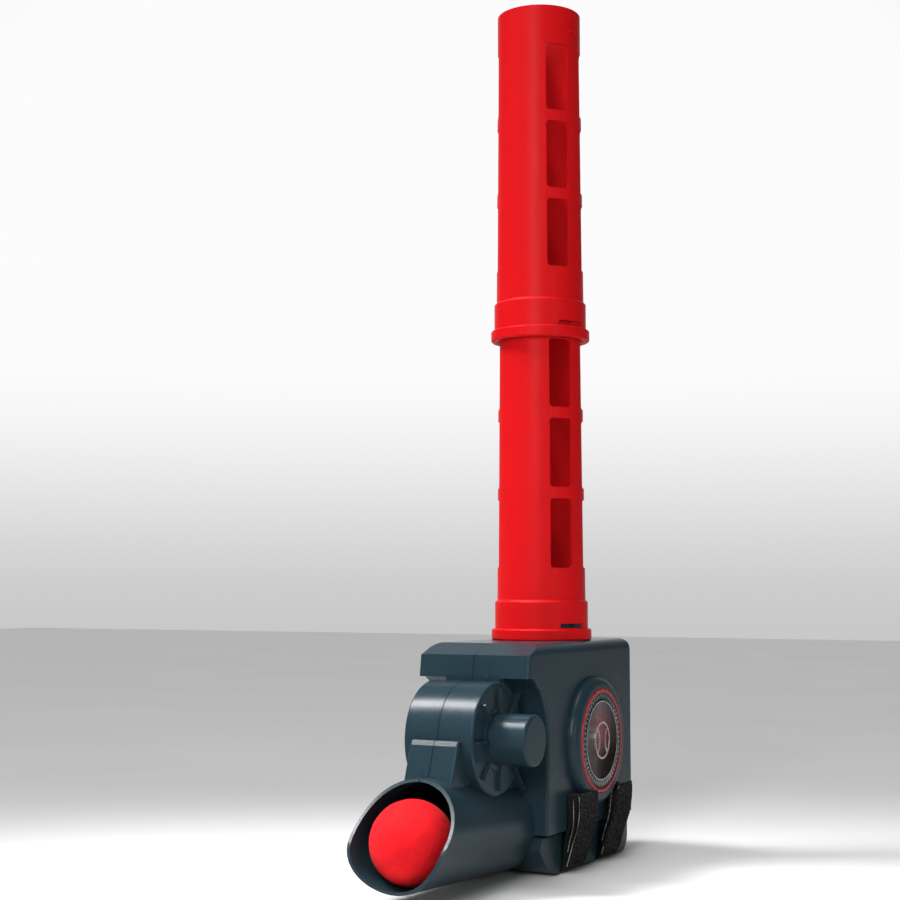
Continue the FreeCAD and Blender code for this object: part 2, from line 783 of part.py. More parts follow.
def hollow_left(body):
    """The rotor's left bearing and the seat of the launch wheel's bushing."""
    boss = sketch_on(body, "side", -dim("half_width") + 1)
    circle(boss, rotor_y, rotor_z, 8)
    pad(body, boss, 7)
    hole = sketch_on(body, "side")
    circle(hole, rotor_y, rotor_z, dim("axle_radius") + dim("running_gap"))
    pocket(body, hole, dim("axle_left") + 0.5, -1)
    seat = sketch_on(body, "side")
    circle(seat, drum_y, drum_z, 5)
    pocket(body, seat, dim("bearing_boss_end") - wall / 2, -1)


# ---------------------------------------------------------------- magazine sections

def build_magazine(label, base, window_bearing):
    """One magazine section: collar with bayonet slots below, plain end with lugs above."""
    body = new_body(label)
    length = dim("tube_length")
    straight = length - dim("tube_plain_top")
    section = sketch_on(body, "front")
    outline(section, [
        (dim("collar_bore"), base), (dim("flange_radius") - 1, base),
        (dim("flange_radius"), base + 1), (dim("flange_radius"), base + dim("flange_height") - 1),
        (dim("flange_radius") - 1, base + dim("flange_height")),
        (dim("collar_radius"), base + dim("flange_height")),
        (dim("collar_radius"), base + dim("collar_top") - 2),
        (dim("tube_low_radius"), base + dim("collar_top")),
        (dim("tube_top_radius"), base + straight), (dim("tube_top_radius"), base + length - 0.6),
        (dim("tube_top_radius") - 0.6, base + length), (dim("tube_lead_radius"), base + length),
        (dim("tube_lead_radius"), base + length - dim("tube_lead_depth")),
        (dim("tube_bore"), base + length - dim("tube_lead_depth")),
        (dim("tube_bore"), base + dim("collar_depth")),
        (dim("collar_bore"), base + dim("collar_depth"))])
    axis_line(section, (0, base), (0, base + length))
    revolve(body, section, "Axis0")

    lug_mid = dim("lug_bearing")
    for half_turn in (0, 180):
        lug = sketch_on(body, "top", base + dim("tube_pitch") + dim("lug_low"))
        sector(lug, dim("tube_top_radius") - 1, dim("lug_radius"),
               lug_mid + half_turn, dim("lug_span"))
        pad(body, lug, dim("lug_height"))
        # slot that the lug below turns in, and the way in from the socket's mouth
        slot_span = dim("lock_turn") + dim("lug_span") + 1
        slot = sketch_on(body, "top", base + dim("lug_low") - 0.3)
        sector(slot, dim("collar_bore") - 1, dim("flange_radius") + 2,
               lug_mid - dim("lock_turn") / 2 + half_turn, slot_span)
        pocket(body, slot, dim("lug_height") + 0.6)
        entry = sketch_on(body, "top", base - 1)
        sector(entry, dim("collar_bore") - 1, dim("lug_radius") + 0.3,
               lug_mid - dim("lock_turn") + half_turn, dim("lug_span") + 1)
        pocket(body, entry, dim("lug_low") + 1 + dim("lug_height"))

    half_chord = dim("tube_low_radius") * sine(dim("window_angle") / 2)
    corner = dim("window_round")
    for column in (30, -30):
        windows = sketch_on(body, "side")
        for row_number in range(3):
            low = base + dim("window_first") + dim("window_pitch") * row_number
            high = low + dim("window_height")
            outline(windows, [
                (-half_chord + corner, low), (half_chord - corner, low, corner),
                (half_chord, low + corner), (half_chord, high - corner, corner),
                (half_chord - corner, high), (-half_chord + corner, high, corner),
                (-half_chord, high - corner), (-half_chord, low + corner, corner)])
        # the plane turns about the tube's axis to face this column of windows
        turn = window_bearing + column - 90
        windows.AttachmentOffset = FreeCAD.Placement(
            Vector(0, 0, 0), FreeCAD.Rotation(Vector(0, 1, 0), turn.value))
        bind(windows, AttachmentOffset__Rotation__Angle=turn)
        pocket(body, windows, 200, both_ways=True)
    return body


def sector(sketch, inner, outer, middle, span):
    """A ring sector; bearings are degrees from -Y towards +X."""
    start = middle - span / 2
    end = middle + span / 2
    outline(sketch, [
        (inner * sine(start), -(inner * cosine(start))),
        (outer * sine(start), -(outer * cosine(start)), outer),
        (outer * sine(end), -(outer * cosine(end))),
        (inner * sine(end), -(inner * cosine(end)), -inner)])


# ---------------------------------------------------------------- feed mechanism

def build_magazine_socket():
    """The ring with two lugs that the lower section stands on, held by its flange under the roof."""
    body = new_body("magazine_socket")
    section = sketch_on(body, "front")
    seat = dim("top_level") - wall
    outline(section, [
        (dim("socket_bore"), dim("socket_low")), (dim("socket_flange"), dim("socket_low")),
        (dim("socket_flange"), seat), (dim("socket_radius"), seat),
        (dim("socket_radius"), dim("socket_top") - 0.6),
        (dim("socket_radius") - 0.6, dim("socket_top")), (dim("socket_bore"), dim("socket_top"))])
    axis_line(section, (0, dim("socket_low")), (0, dim("socket_top")))
    revolve(body, section, "Axis0")
    for half_turn in (0, 180):
        lug = sketch_on(body, "top", dim("top_level") + dim("lug_low"))
        sector(lug, dim("socket_radius") - 1, dim("lug_radius"),
               dim("lug_bearing") + half_turn, dim("lug_span"))
        pad(body, lug, dim("lug_height"))


def build_rotor():
    """Drum with one ball pocket and a stub axle at each end."""
    body = new_body("feed_rotor")
    sketch = sketch_on(body, "side")
    circle(sketch, rotor_y, rotor_z, dim("rotor_radius"))
    pad(body, sketch, dim("rotor_half_width") * 2, both_ways=True)
    sketch = sketch_on(body, "side")
    radius = dim("pocket_radius")
    centre = rotor_z + dim("pocket_rise")
    top = rotor_z + dim("rotor_radius") + 5
    outline(sketch, [(rotor_y - radius, centre, radius), (rotor_y + radius, centre),
                     (rotor_y + radius, top), (rotor_y - radius, top)])
    pocket(body, sketch, dim("pocket_half_width") * 2, both_ways=True)
    # the crescent below the ball pocket is cored out from the left
    core = sketch_on(body, "side", dim("rotor_half_width") - 2.5)
    inside = radius + 2.5
    shell = dim("rotor_radius") - 2.5
    shoulder = dim("pocket_rise") + 11
    reach = Size(math.sqrt(shell.value ** 2 - shoulder.value ** 2),
                 f"sqrt({shell.text} ^ 2 - {shoulder.text} ^ 2)")
    outline(core, [
        (rotor_y - inside, centre, inside), (rotor_y + inside, centre),
        (rotor_y + reach, rotor_z + shoulder, -shell), (rotor_y, rotor_z - shell, -shell),
        (rotor_y - reach, rotor_z + shoulder)])
    pocket(body, core, dim("rotor_half_width") * 2, -1)
    for side, end in ((1, dim("axle_right")), (-1, dim("axle_left"))):
        sketch = sketch_on(body, "side", dim("rotor_half_width") * side)
        circle(sketch, rotor_y, rotor_z, dim("axle_radius"))
        pad(body, sketch, end - dim("rotor_half_width"), side)
        sketch = sketch_on(body, "side", dim("rotor_half_width") * side)
        circle(sketch, rotor_y, rotor_z, 9)
        pad(body, sketch, 1.5, side)


def involute_outline(module, teeth, backlash, turn):
    """Wire of a spur gear with involute flanks, in the Y-Z plane about the origin."""
    pitch = module * teeth / 2.0
    base = pitch * math.cos(math.radians(20))
    outer = pitch + module
    root = pitch - 1.2 * module
    half_tooth = math.pi / (2 * teeth) - backlash / (2 * pitch)
    spread = math.tan(math.radians(20)) - math.radians(20)
    flank = []
    lowest = max(base, root)
    for step in range(6):
        radius = lowest + (outer - lowest) * step / 5.0
        pressure = math.acos(min(1.0, base / radius))
        flank.append((radius, half_tooth + spread - (math.tan(pressure) - pressure)))
    points = []
    for number in range(teeth):
        middle = turn + 2 * math.pi * number / teeth
        points.append((root, middle - flank[0][1]))
        points += [(radius, middle - angle) for radius, angle in flank]
        points += [(radius, middle + angle) for radius, angle in reversed(flank)]
        points.append((root, middle + flank[0][1]))
    wire_points = [Vector(0, r * math.cos(a), r * math.sin(a)) for r, a in points]
    return Part.makePolygon(wire_points + [wire_points[0]])


def build_gear(label, teeth, turn, bore, y, z):
    """A spur gear as a plain feature: no sketch tool draws involute teeth."""
    module = dim("gear_module").value
    width = dim("feed_gear_width").value
    wire = involute_outline(module, int(teeth.value), dim("gear_backlash").value, turn)
    blank = Part.Face(wire).extrude(Vector(width, 0, 0))
    blank = blank.cut(Part.makeCylinder(bore.value, width, Vector(), Vector(1, 0, 0)))
    for number in range(6 if teeth.value > 40 else 0):
        angle = math.pi * number / 3
        away = Vector(0, math.cos(angle), math.sin(angle)) * (module * teeth.value * 0.29)
        blank = blank.cut(Part.makeCylinder(10, width, away, Vector(1, 0, 0)))
    gear = doc.addObject("Part::Feature", label)
    gear.Shape = blank
    gear.Placement = FreeCAD.Placement(
        Vector(dim("feed_gear_start").value, y.value, z.value), FreeCAD.Rotation())
    return finish(gear, label)


def build_feed_train():
    direction = math.atan2((feed_motor_z - rotor_z).value, (feed_motor_y - rotor_y).value)
    pinion_pitch = 2 * math.pi / dim("pinion_teeth").value
    build_gear("feed_gear", dim("gear_teeth"), direction, dim("axle_radius"), rotor_y, rotor_z)
    # opposite the gear's tooth the pinion shows a gap
    build_gear("feed_pinion", dim("pinion_teeth"), direction + math.pi + pinion_pitch / 2,
               as_size(1.5), feed_motor_y, feed_motor_z)
    # the pinion's shaft and the motor with its round gearbox
    shaft = x_cylinder("feed_shaft", 1.5, 33.5, dim("feed_gear_start") + dim("feed_gear_width"),
                       feed_motor_y, feed_motor_z)
    finish(shaft, "feed_shaft")
    gearbox = x_cylinder("gearbox_blank", dim("feed_motor_radius"), 12, 38,
                         feed_motor_y, feed_motor_z)
    can = x_cylinder("feed_can", 10, -16, 12, feed_motor_y, feed_motor_z)
    body = fuse_shapes("feed_motor_blank", [gearbox, can])
    room = x_cylinder("feed_shaft_room", as_size(1.5) + dim("running_gap"), 33, 40,
                      feed_motor_y, feed_motor_z)
    finish(cut_shape("feed_motor", body, room), "feed_motor")


def build_hopper():
    """Short tube that guides the balls from the magazine down to the rotor."""
    outer = primitive("Cylinder", "hopper_outer", Radius=dim("tube_bore") + 1.8,
                      Height=dim("socket_low") - rotor_z - 30)
    place(outer, 0, 0, rotor_z + 30)
    inner = primitive("Cylinder", "hopper_inner", Radius=dim("tube_bore"), Height=100)
    place(inner, 0, 0, rotor_z)
    sweep = x_cylinder("hopper_sweep", dim("rotor_radius") + 1.2, -60, 60, rotor_y, rotor_z)
    ring = cut_shape("hopper_ring", outer, inner)
    finish(cut_shape("feed_hopper", ring, sweep), "feed_hopper")


def build_chute():
    """Half pipe that rolls the ball from the rotor down to the barrel."""
    inner_radius = 34.4
    length = 88
    start_y, start_z, slope = 14.0, 55.5, 33.0
    tilt = FreeCAD.Rotation(Vector(1, 0, 0), 90 + slope)
    along = tilt.multVec(Vector(0, 0, 1))
    lift = Vector(0, -along.z, along.y) * -1
    top = Vector(0, start_y, start_z) + lift * inner_radius
    pieces = []
    for name, radius in (("chute_outer", inner_radius + 1.8), ("chute_inner", inner_radius)):
        pipe = primitive("Cylinder", name, Radius=radius, Height=length)
        pipe.Placement = FreeCAD.Placement(top, tilt)
        pieces.append(pipe)
    pipe = cut_shape("chute_pipe", *pieces)
    lid = primitive("Box", "chute_lid", Length=120, Width=60, Height=length + 20)
    lid.Placement = FreeCAD.Placement(top + Vector(-60, 0, 0) - along * 10 - lift * 8, tilt)
    trough = cut_shape("chute_trough", pipe, lid)
    sweep = x_cylinder("chute_sweep", dim("rotor_radius") + 1.5, -60, 60, rotor_y, rotor_z)
    finish(cut_shape("feed_chute", trough, sweep), "feed_chute")


# ---------------------------------------------------------------- launch wheel

def build_launch_wheel():
    half = dim("wheel_half_width")
    hub = new_body("wheel_hub")
    sketch = sketch_on(hub, "side")
    circle(sketch, drum_y, drum_z, dim("hub_radius"))
    circle(sketch, drum_y, drum_z, dim("shaft_radius"))
    pad(hub, sketch, half * 2, both_ways=True)
    for side in (1, -1):
        dish = sketch_on(hub, "side", (half - 8) * side)
        circle(dish, drum_y, drum_z, dim("hub_radius") - 3)
        circle(dish, drum_y, drum_z, 7)
        pocket(hub, dish, 20, side)
    tyre = new_body("wheel_tyre")
    section = sketch_on(tyre, "side")
    circle(section, drum_y, drum_z, dim("wheel_radius"))
    circle(section, drum_y, drum_z, dim("hub_radius"))
    pad(tyre, section, half * 2, both_ways=True)
    # hollow running surface that cups the ball
    groove = sketch_on(tyre, "front", dim("drum_behind"))
    radius = dim("ball_radius")
    floor = drum_z + dim("wheel_radius") - 1.6
    chord = half - 1.5
    rise = radius - Size(math.sqrt(radius.value ** 2 - chord.value ** 2),
                         f"sqrt({radius.text} ^ 2 - {chord.text} ^ 2)")
    outline(groove, [(-chord, floor + rise, radius), (chord, floor + rise),
                     (chord, floor + 8), (-chord, floor + 8)])
    axis_line(groove, (-20, drum_z), (20, drum_z))
    revolve(tyre, groove, "Axis0", cut=True)
    finish(x_cylinder("wheel_shaft", dim("shaft_radius"), -34, 29, drum_y, drum_z), "wheel_shaft")

    can = x_cylinder("motor_can", dim("launch_motor_radius"), dim("launch_motor_start"),
                     dim("launch_motor_end"), drum_y, drum_z)
    nose = x_cylinder("motor_nose", 6.5, dim("launch_motor_start") - 2, dim("launch_motor_start"),
                      drum_y, drum_z)
    cap = x_cylinder("motor_cap", 5, dim("launch_motor_end"), dim("launch_motor_end") + 2,
                     drum_y, drum_z)
    body = fuse_shapes("motor_solid", [can, nose, cap])
    room = x_cylinder("motor_shaft_room", dim("shaft_radius") + dim("running_gap"), 10, 30,
                      drum_y, drum_z)
    finish(cut_shape("launch_motor", body, room), "launch_motor")

    sleeve = x_cylinder("bushing_blank", 5, -34.5, dim("drum_half_width") * -1 + 3, drum_y, drum_z)
    hole = x_cylinder("bushing_hole", dim("shaft_radius") + dim("running_gap"), -40, -20,
                      drum_y, drum_z)
    finish(cut_shape("wheel_bushing", sleeve, hole), "wheel_bushing")


def build_launch_ramp():
    """Grippy strip on the barrel's floor that presses the ball up against the wheel."""
    body = new_body("launch_ramp")
    sketch = sketch_on(body, "side")
    half_width = 8.0
    first = drum_y + 38
    last = drum_y - 42

    def floor(y):
        station = -as_size(y) - dim("barrel_root")
        radius = dim("barrel_root_radius") + station * dim("barrel_growth") - wall
        return barrel_axis_level(y) - radius + 1.3

    top = floor(drum_y) + 4.4
    outline(sketch, [
        (first, floor(first)), (first - 16, top), (last + 16, top + 0.6), (last, floor(last) + 1.2),
        (last, floor(last))])
    pad(body, sketch, half_width * 2, both_ways=True)


# ---------------------------------------------------------------- power

def build_battery_box():
    """Open tray at the rear that stands the four cells two above two."""
    body = new_body("battery_box")
    sketch = sketch_on(body, "side")
    rectangle(sketch, dim("box_front"), dim("box_low"), dim("box_rear"), dim("box_top"))
    pad(body, sketch, dim("box_half_width") * 2, both_ways=True)
    sketch = sketch_on(body, "side")
    thin = dim("box_wall")
    rectangle(sketch, dim("box_front") + thin, dim("box_low") + thin,
              dim("box_rear") + 5, dim("box_top") - thin)
    pocket(body, sketch, (dim("box_half_width") - thin) * 2, both_ways=True)
    post = sketch_on(body, "side")
    rectangle(post, dim("box_rear") - 9, dim("box_top") - thin, dim("box_rear"), dim("box_top") + 8)
    pad(body, post, 14, both_ways=True)
    hole = sketch_on(body, "front", -dim("box_rear") - 1)
    circle(hole, 0, dim("box_top") + 4, 2)
    pocket(body, hole, 11)


def build_cells():
    cells = []
    for row_number in (0, 1):
        for side in (1, -1):
            name = f"cell_{row_number}_{side + 1}"
            low = dim("cell_low") + (dim("cell_length") + 1) * row_number
            body = primitive("Cylinder", name, Radius=dim("cell_radius"),
                             Height=dim("cell_length") - 1.5)
            place(body, dim("cell_offset") * side, dim("cell_back"), low)
            nub = primitive("Cylinder", f"{name}_nub", Radius=3, Height=2.5)
            place(nub, dim("cell_offset") * side, dim("cell_back"), low + dim("cell_length") - 1.5)
            cells.append(fuse_shapes(f"{name}_whole", [body, nub]))
    finish(group_shapes("battery_cells", cells), "battery_cells")


def build_contacts():
    """Conical springs under the lower cells and a flat plate over the upper ones."""
    floor = dim("box_low") + dim("box_wall")
    stack_top = dim("cell_low") + dim("cell_length") * 2 + 2
    pieces = []
    for side in (1, -1):
        coils = []
        for turn in range(4):
            coil = primitive("Torus", f"coil_{side + 1}_{turn}", Radius1=5.2 - 0.6 * turn, Radius2=0.45)
            place(coil, dim("cell_offset") * side, dim("cell_back"), floor + 0.45 + 0.6 * turn)
            coils.append(coil)
        pieces.append(fuse_shapes(f"spring_{side + 1}", coils))
    plate = x_box("contact_plate", -24, 24, dim("cell_back") - 8, dim("cell_back") + 8,
                  stack_top + 0.1, stack_top + 0.5)
    pieces.append(plate)
    finish(group_shapes("battery_contacts", pieces), "battery_contacts")


def build_battery_door():
    body = new_body("battery_door")
    inner = dim("rear_face") - 2.4
    sketch = sketch_on(body, "side")
    rectangle(sketch, inner, dim("door_low"), dim("rear_face"), dim("door_top"))
    pad(body, sketch, dim("door_half_width") * 2, both_ways=True)

    def outer_corner(edge):
        box = edge.BoundBox
        return near(box.YMin, dim("rear_face")) and near(box.YMax, dim("rear_face"))

    round_edges(body, 0.8, outer_corner)
    knuckle = sketch_on(body, "side")
    circle(knuckle, dim("hinge_back"), dim("hinge_level"), dim("hinge_knuckle"))
    pad(body, knuckle, (dim("door_half_width") - 0.5) * 2, both_ways=True)
    hole = sketch_on(body, "side")
    circle(hole, dim("hinge_back"), dim("hinge_level"), dim("hinge_pin") + dim("running_gap"))
    pocket(body, hole, 100, both_ways=True)
    # finger grooves, and the screw's countersink and hole
    for number in range(4):
        groove = sketch_on(body, "side")
        level = dim("door_low") + 24 + 5 * number
        rectangle(groove, dim("rear_face") - 0.8, level, dim("rear_face") + 2, level + 2)
        pocket(body, groove, 34, both_ways=True)
    level = dim("box_top") + 4
    for radius, start in ((1.5, dim("rear_face") - 10), (3.2, dim("rear_face") - 1.2)):
        sketch = sketch_on(body, "front", -start)
        circle(sketch, 0, level, radius)
        pocket(body, sketch, 12, -1)
    head = primitive("Cylinder", "door_screw_head", Radius=3.2, Height=1.1)
    shank = primitive("Cylinder", "door_screw_shank", Radius=1.5, Height=6.4)
    for rod, start in ((head, dim("rear_face") - 0.1), (shank, dim("rear_face") - 1.2)):
        rod.Placement = FreeCAD.Placement(Vector(0, 0, 0), FreeCAD.Rotation(Vector(1, 0, 0), 90))
        place(rod, 0, start, level)
    slot = x_box("door_screw_slot", -2.6, 2.6, dim("rear_face") - 0.7, dim("rear_face") + 1,
                 level - 0.4, level + 0.4)
    screw = fuse_shapes("door_screw_solid", [head, shank])
    finish(cut_shape("door_screw", screw, slot), "door_screw")
    finish(x_cylinder("door_hinge_pin", dim("hinge_pin"), -dim("door_half_width") - 3,
                      dim("door_half_width") + 3, dim("hinge_back"), dim("hinge_level")),
           "door_hinge_pin")


def build_switch():
    level = dim("switch_level")
    rear = dim("rear_face")
    base = x_box("switch_blank", -13, 13, rear - wall - 11, rear - wall, level - 8, level + 8)
    room = x_box("switch_room", -8.5, 8.5, rear - wall - 5, rear, level - 3.5, level + 3.5)
    finish(cut_shape("switch_base", base, room), "switch_base")
    body = new_body("switch_knob")
    start = -dim("switch_travel") / 2
    cap = sketch_on(body, "front", -rear - 0.3)
    rectangle(cap, start - 8, level - 5, start + 8, level + 5)
    pad(body, cap, 2.0, -1)
    for number in range(5):
        groove = sketch_on(body, "front", -rear - 1.7)
        left = start - 5.4 + 2.4 * number
        rectangle(groove, left, level - 6, left + 1.2, level + 6)
        pocket(body, groove, 5, -1)
    stem = sketch_on(body, "front", -rear - 0.3)
    rectangle(stem, start - 3, level - 3, start + 3, level + 3)
    pad(body, stem, 6.0)


def build_board():
    board = x_box("board", -45.2, -43.6, -86, -54, 44, 84)
    chip = x_box("chip", -43.6, -42.0, -76, -66, 58, 70)
    relay = x_box("relay", -43.6, -36.0, -84, -78, 50, 64)
    cap = x_cylinder("capacitor", 2.5, -43.6, -36.6, -62, 52)
    finish(fuse_shapes("circuit_board", [board, chip, relay, cap]), "circuit_board")


# ---------------------------------------------------------------- outside trim

def build_badge():
    disc = x_cylinder("badge_disc", dim("badge_radius"), dim("badge_boss_end") - dim("badge_recess"),
                      dim("badge_boss_end") - dim("badge_recess") + dim("badge_thickness"),
                      rotor_y, rotor_z)
    finish(disc, "badge_disc")


def build_screws():
    screws = []
    for number, (y, z, seat) in enumerate(SCREWS):
        head = x_cylinder(f"head_{number}", dim("screw_head"), -seat, -seat + 2, y, z)
        shank = x_cylinder(f"shank_{number}", dim("screw_radius"), -seat + 2, 10, y, z)
        screws.append(fuse_shapes(f"screw_{number}", [head, shank]))
    finish(group_shapes("housing_screws", screws), "housing_screws")


def build_strap(label, start):
    """Hook and loop strap: under the housing in its groove, folded back on itself at both sides."""
    body = new_body(label)
    sketch = sketch_on(body, "front", -start)
    gap = dim("strap_gap")
    top = dim("strap_top")
    belly = dim("belly_half_width") + gap
    side = dim("half_width") + gap
    roof = dim("strap_groove") - gap
    right = [
        (12, gap), (belly - 3, gap, 14), (belly + 9, 12), (side + 12, 44), (side + 12, top - 8, 8),
        (side + 4, top), (side, top), (side, dim("ledge_level") - 0.5), (belly, 27), (belly, roof)]
    mirrored = [(-as_size(u), v) for u, v in [corner[:2] for corner in reversed(right)]]
    # arcs belong to the corner they start from, so they move to the neighbour in the mirror image
    mirrored[2] = mirrored[2][:2]
    left = [mirrored[0], mirrored[1], mirrored[2], mirrored[3],
            (mirrored[4][0], mirrored[4][1], 8), mirrored[5], mirrored[6],
            (mirrored[7][0], mirrored[7][1], 14), mirrored[8], mirrored[9]]
    outline(sketch, right + left)
    pad(body, sketch, dim("strap_width"), -1)
    # the fold's top corner stands over the round boss's rim
    rim = sketch_on(body, "side", dim("half_width") - 2)
    circle(rim, rotor_y, rotor_z, dim("badge_boss_radius") + 0.6)
    pocket(body, rim, dim("badge_boss_end") - dim("half_width") + 2.7)


def build_ball():
    ball = primitive("Sphere", "ball", Radius=dim("ball_radius"))
    y = -dim("ball_station")
    station = dim("ball_station") - dim("barrel_root")
    bore = dim("barrel_root_radius") + station * dim("barrel_growth") - wall
    place(ball, 0, y, barrel_axis_level(y) - (bore - dim("ball_radius")) + 0.35)
    finish(ball, "ball")


build_half("housing_right", 1)
build_half("housing_left", -1)
build_magazine("magazine_lower", dim("top_level"), dim("lower_windows"))
build_magazine("magazine_upper", dim("top_level") + dim("tube_pitch"), dim("upper_windows"))
build_magazine_socket()
build_rotor()
build_feed_train()
build_hopper()
build_chute()
build_launch_wheel()
build_launch_ramp()
build_battery_box()
build_cells()
build_contacts()
build_battery_door()
build_switch()
build_board()
build_badge()
build_screws()
for strap_label, strap_start in zip(("strap_front", "strap_rear"), STRAP_STARTS):
    build_strap(strap_label, strap_start)
build_ball()

doc.recompute()
for thing in doc.Objects:
    if "Invalid" in thing.State or "Error" in thing.State:
        raise RuntimeError(f"{thing.Label} is {thing.State}")
for thing in sub_parts:
    if thing.Shape.isNull() or not thing.Shape.isValid():
        raise RuntimeError(f"{thing.Label} has no valid shape")

os.makedirs("parts", exist_ok=True)
for thing in sub_parts:
    thing.Shape.exportStep(f"parts/{thing.Label}.step")
    print(f"{thing.Label:18s} {len(thing.Shape.Solids)} solid(s) {thing.Shape.Volume / 1000:9.2f} cm3")
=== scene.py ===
"""Ball launcher with a two-section magazine, shown on a pale floor. Units are metres."""
import json
import math

import bmesh
import bpy
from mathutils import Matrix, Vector, noise


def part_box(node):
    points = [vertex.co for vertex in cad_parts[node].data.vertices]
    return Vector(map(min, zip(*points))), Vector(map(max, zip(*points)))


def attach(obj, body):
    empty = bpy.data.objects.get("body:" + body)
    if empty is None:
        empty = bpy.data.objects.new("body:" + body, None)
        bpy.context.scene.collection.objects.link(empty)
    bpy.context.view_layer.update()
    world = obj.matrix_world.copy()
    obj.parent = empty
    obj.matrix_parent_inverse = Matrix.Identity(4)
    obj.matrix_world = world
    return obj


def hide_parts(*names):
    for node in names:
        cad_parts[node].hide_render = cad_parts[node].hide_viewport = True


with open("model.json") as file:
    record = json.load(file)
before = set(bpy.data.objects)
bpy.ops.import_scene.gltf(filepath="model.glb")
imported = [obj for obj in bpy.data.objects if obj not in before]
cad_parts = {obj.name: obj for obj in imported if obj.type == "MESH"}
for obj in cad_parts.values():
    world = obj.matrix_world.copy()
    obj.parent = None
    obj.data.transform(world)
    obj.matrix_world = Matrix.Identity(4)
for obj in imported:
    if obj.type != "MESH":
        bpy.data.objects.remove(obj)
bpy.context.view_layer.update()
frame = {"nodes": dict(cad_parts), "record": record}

MM = 0.001
FULL_TURN = 2 * math.pi


# ---------------------------------------------------------------- materials


class Shader:
    """A node material with one Principled BSDF."""

    def __init__(self, name):
        self.material = bpy.data.materials.new(name)
        self.material.use_nodes = True
        self.tree = self.material.node_tree
        self.bsdf = self.tree.nodes["Principled BSDF"]
        self.where = self.node("ShaderNodeTexCoord").outputs["Object"]

    def node(self, kind, inputs=None, **settings):
        made = self.tree.nodes.new(kind)
        for name, value in settings.items():
            setattr(made, name, value)
        for key, value in (inputs or {}).items():
            self.feed(made.inputs[key], value)
        return made

    def feed(self, socket, value):
        if isinstance(value, bpy.types.NodeSocket):
            self.tree.links.new(value, socket)
        elif isinstance(value, (tuple, list)) and len(value) == 3 and socket.type == "RGBA":
            socket.default_value = (*value, 1.0)
        else:
            socket.default_value = value

    def set(self, **values):
        for name, value in values.items():
            self.feed(self.bsdf.inputs[name.replace("_", " ")], value)

    def noise(self, scale, detail=2.0, roughness=0.5, where=None, stretch=None):
        where = where or self.where
        if stretch:
            where = self.node("ShaderNodeMapping", {"Vector": where, "Scale": stretch}).outputs[0]
        values = {"Vector": where, "Scale": scale, "Detail": detail, "Roughness": roughness}
        return self.node("ShaderNodeTexNoise", values).outputs["Fac"]

    def math(self, operation, a, b=0.0, c=0.0, clamp=False):
        made = self.node("ShaderNodeMath", operation=operation, use_clamp=clamp)
        for socket, value in zip(made.inputs, (a, b, c)):
            self.feed(socket, value)
        return made.outputs[0]

    def remap(self, value, low, high, to_low=0.0, to_high=1.0):
        inputs = {"Value": value, "From Min": low, "From Max": high, "To Min": to_low,
                  "To Max": to_high}
        return self.node("ShaderNodeMapRange", inputs).outputs["Result"]

    def blend(self, factor, a, b):
        made = self.node("ShaderNodeMix", data_type="RGBA")
        self.feed(made.inputs[0], factor)
        self.feed(made.inputs[6], a)
        self.feed(made.inputs[7], b)
        return made.outputs[2]

    def length(self, a, b):
        """Length of the vector (a, b)."""
        squares = self.math("ADD", self.math("MULTIPLY", a, a), self.math("MULTIPLY", b, b))
        return self.math("SQRT", squares)

    def bump(self, height, strength):
        """Normal of a surface raised by this height in metres."""
        inputs = {"Height": height, "Distance": 1.0, "Strength": strength}
        return self.node("ShaderNodeBump", inputs).outputs["Normal"]

    def axes(self):
        made = self.node("ShaderNodeSeparateXYZ", {"Vector": self.where})
        return made.outputs[0], made.outputs[1], made.outputs[2]


def darker(colour, share):
    return tuple(part * share for part in colour)


SEAM_CORE = 0.20 * MM
SEAM_EDGE = 0.55 * MM
SEAM_DEPTH = 0.35 * MM
RIPPLE_HEIGHT = 0.015 * MM


def moulded_plastic(name, light, dark, rough, grain=0.006 * MM, gloss=0.5, seam=False):
    """Injection moulded plastic: slow mottling, fine spark texture and uneven polish.

    With seam set it has the dark joint line of two shells that meet at x = 0.
    """
    s = Shader(name)
    mottle = s.noise(14.0, 4.0, 0.6)
    flow = s.noise(5.0, 3.0, 0.55, stretch=(1.0, 1.0, 0.22))
    mixed = s.math("ADD", s.math("MULTIPLY", mottle, 0.6), s.math("MULTIPLY", flow, 0.4))
    colour = s.blend(s.remap(mixed, 0.25, 0.75), dark, light)
    specks = s.remap(s.noise(1400.0, 1.0), 0.62, 0.80, 0.0, 0.2)
    colour = s.blend(specks, colour, tuple(min(1.0, part * 1.25 + 0.006) for part in light))
    polish = s.remap(s.noise(16.0, 2.0, 0.5), 0.3, 0.7, rough - 0.025, rough + 0.025)
    height = s.math("ADD", s.math("MULTIPLY", s.noise(2600.0, 2.0, 0.5), grain),
                    s.math("MULTIPLY", s.noise(30.0, 0.0, 0.5), RIPPLE_HEIGHT))
    if seam:
        x, _, _ = s.axes()
        line = s.remap(s.math("ABSOLUTE", x), SEAM_CORE, SEAM_EDGE, 1.0, 0.0)
        colour = s.blend(s.math("MULTIPLY", line, 0.9), colour, darker(dark, 0.15))
        height = s.math("SUBTRACT", height, s.math("MULTIPLY", line, SEAM_DEPTH))
    s.set(Base_Color=colour, Roughness=polish, Normal=s.bump(height, 0.8), IOR=1.49)
    s.set(Specular_IOR_Level=gloss)
    return s.material


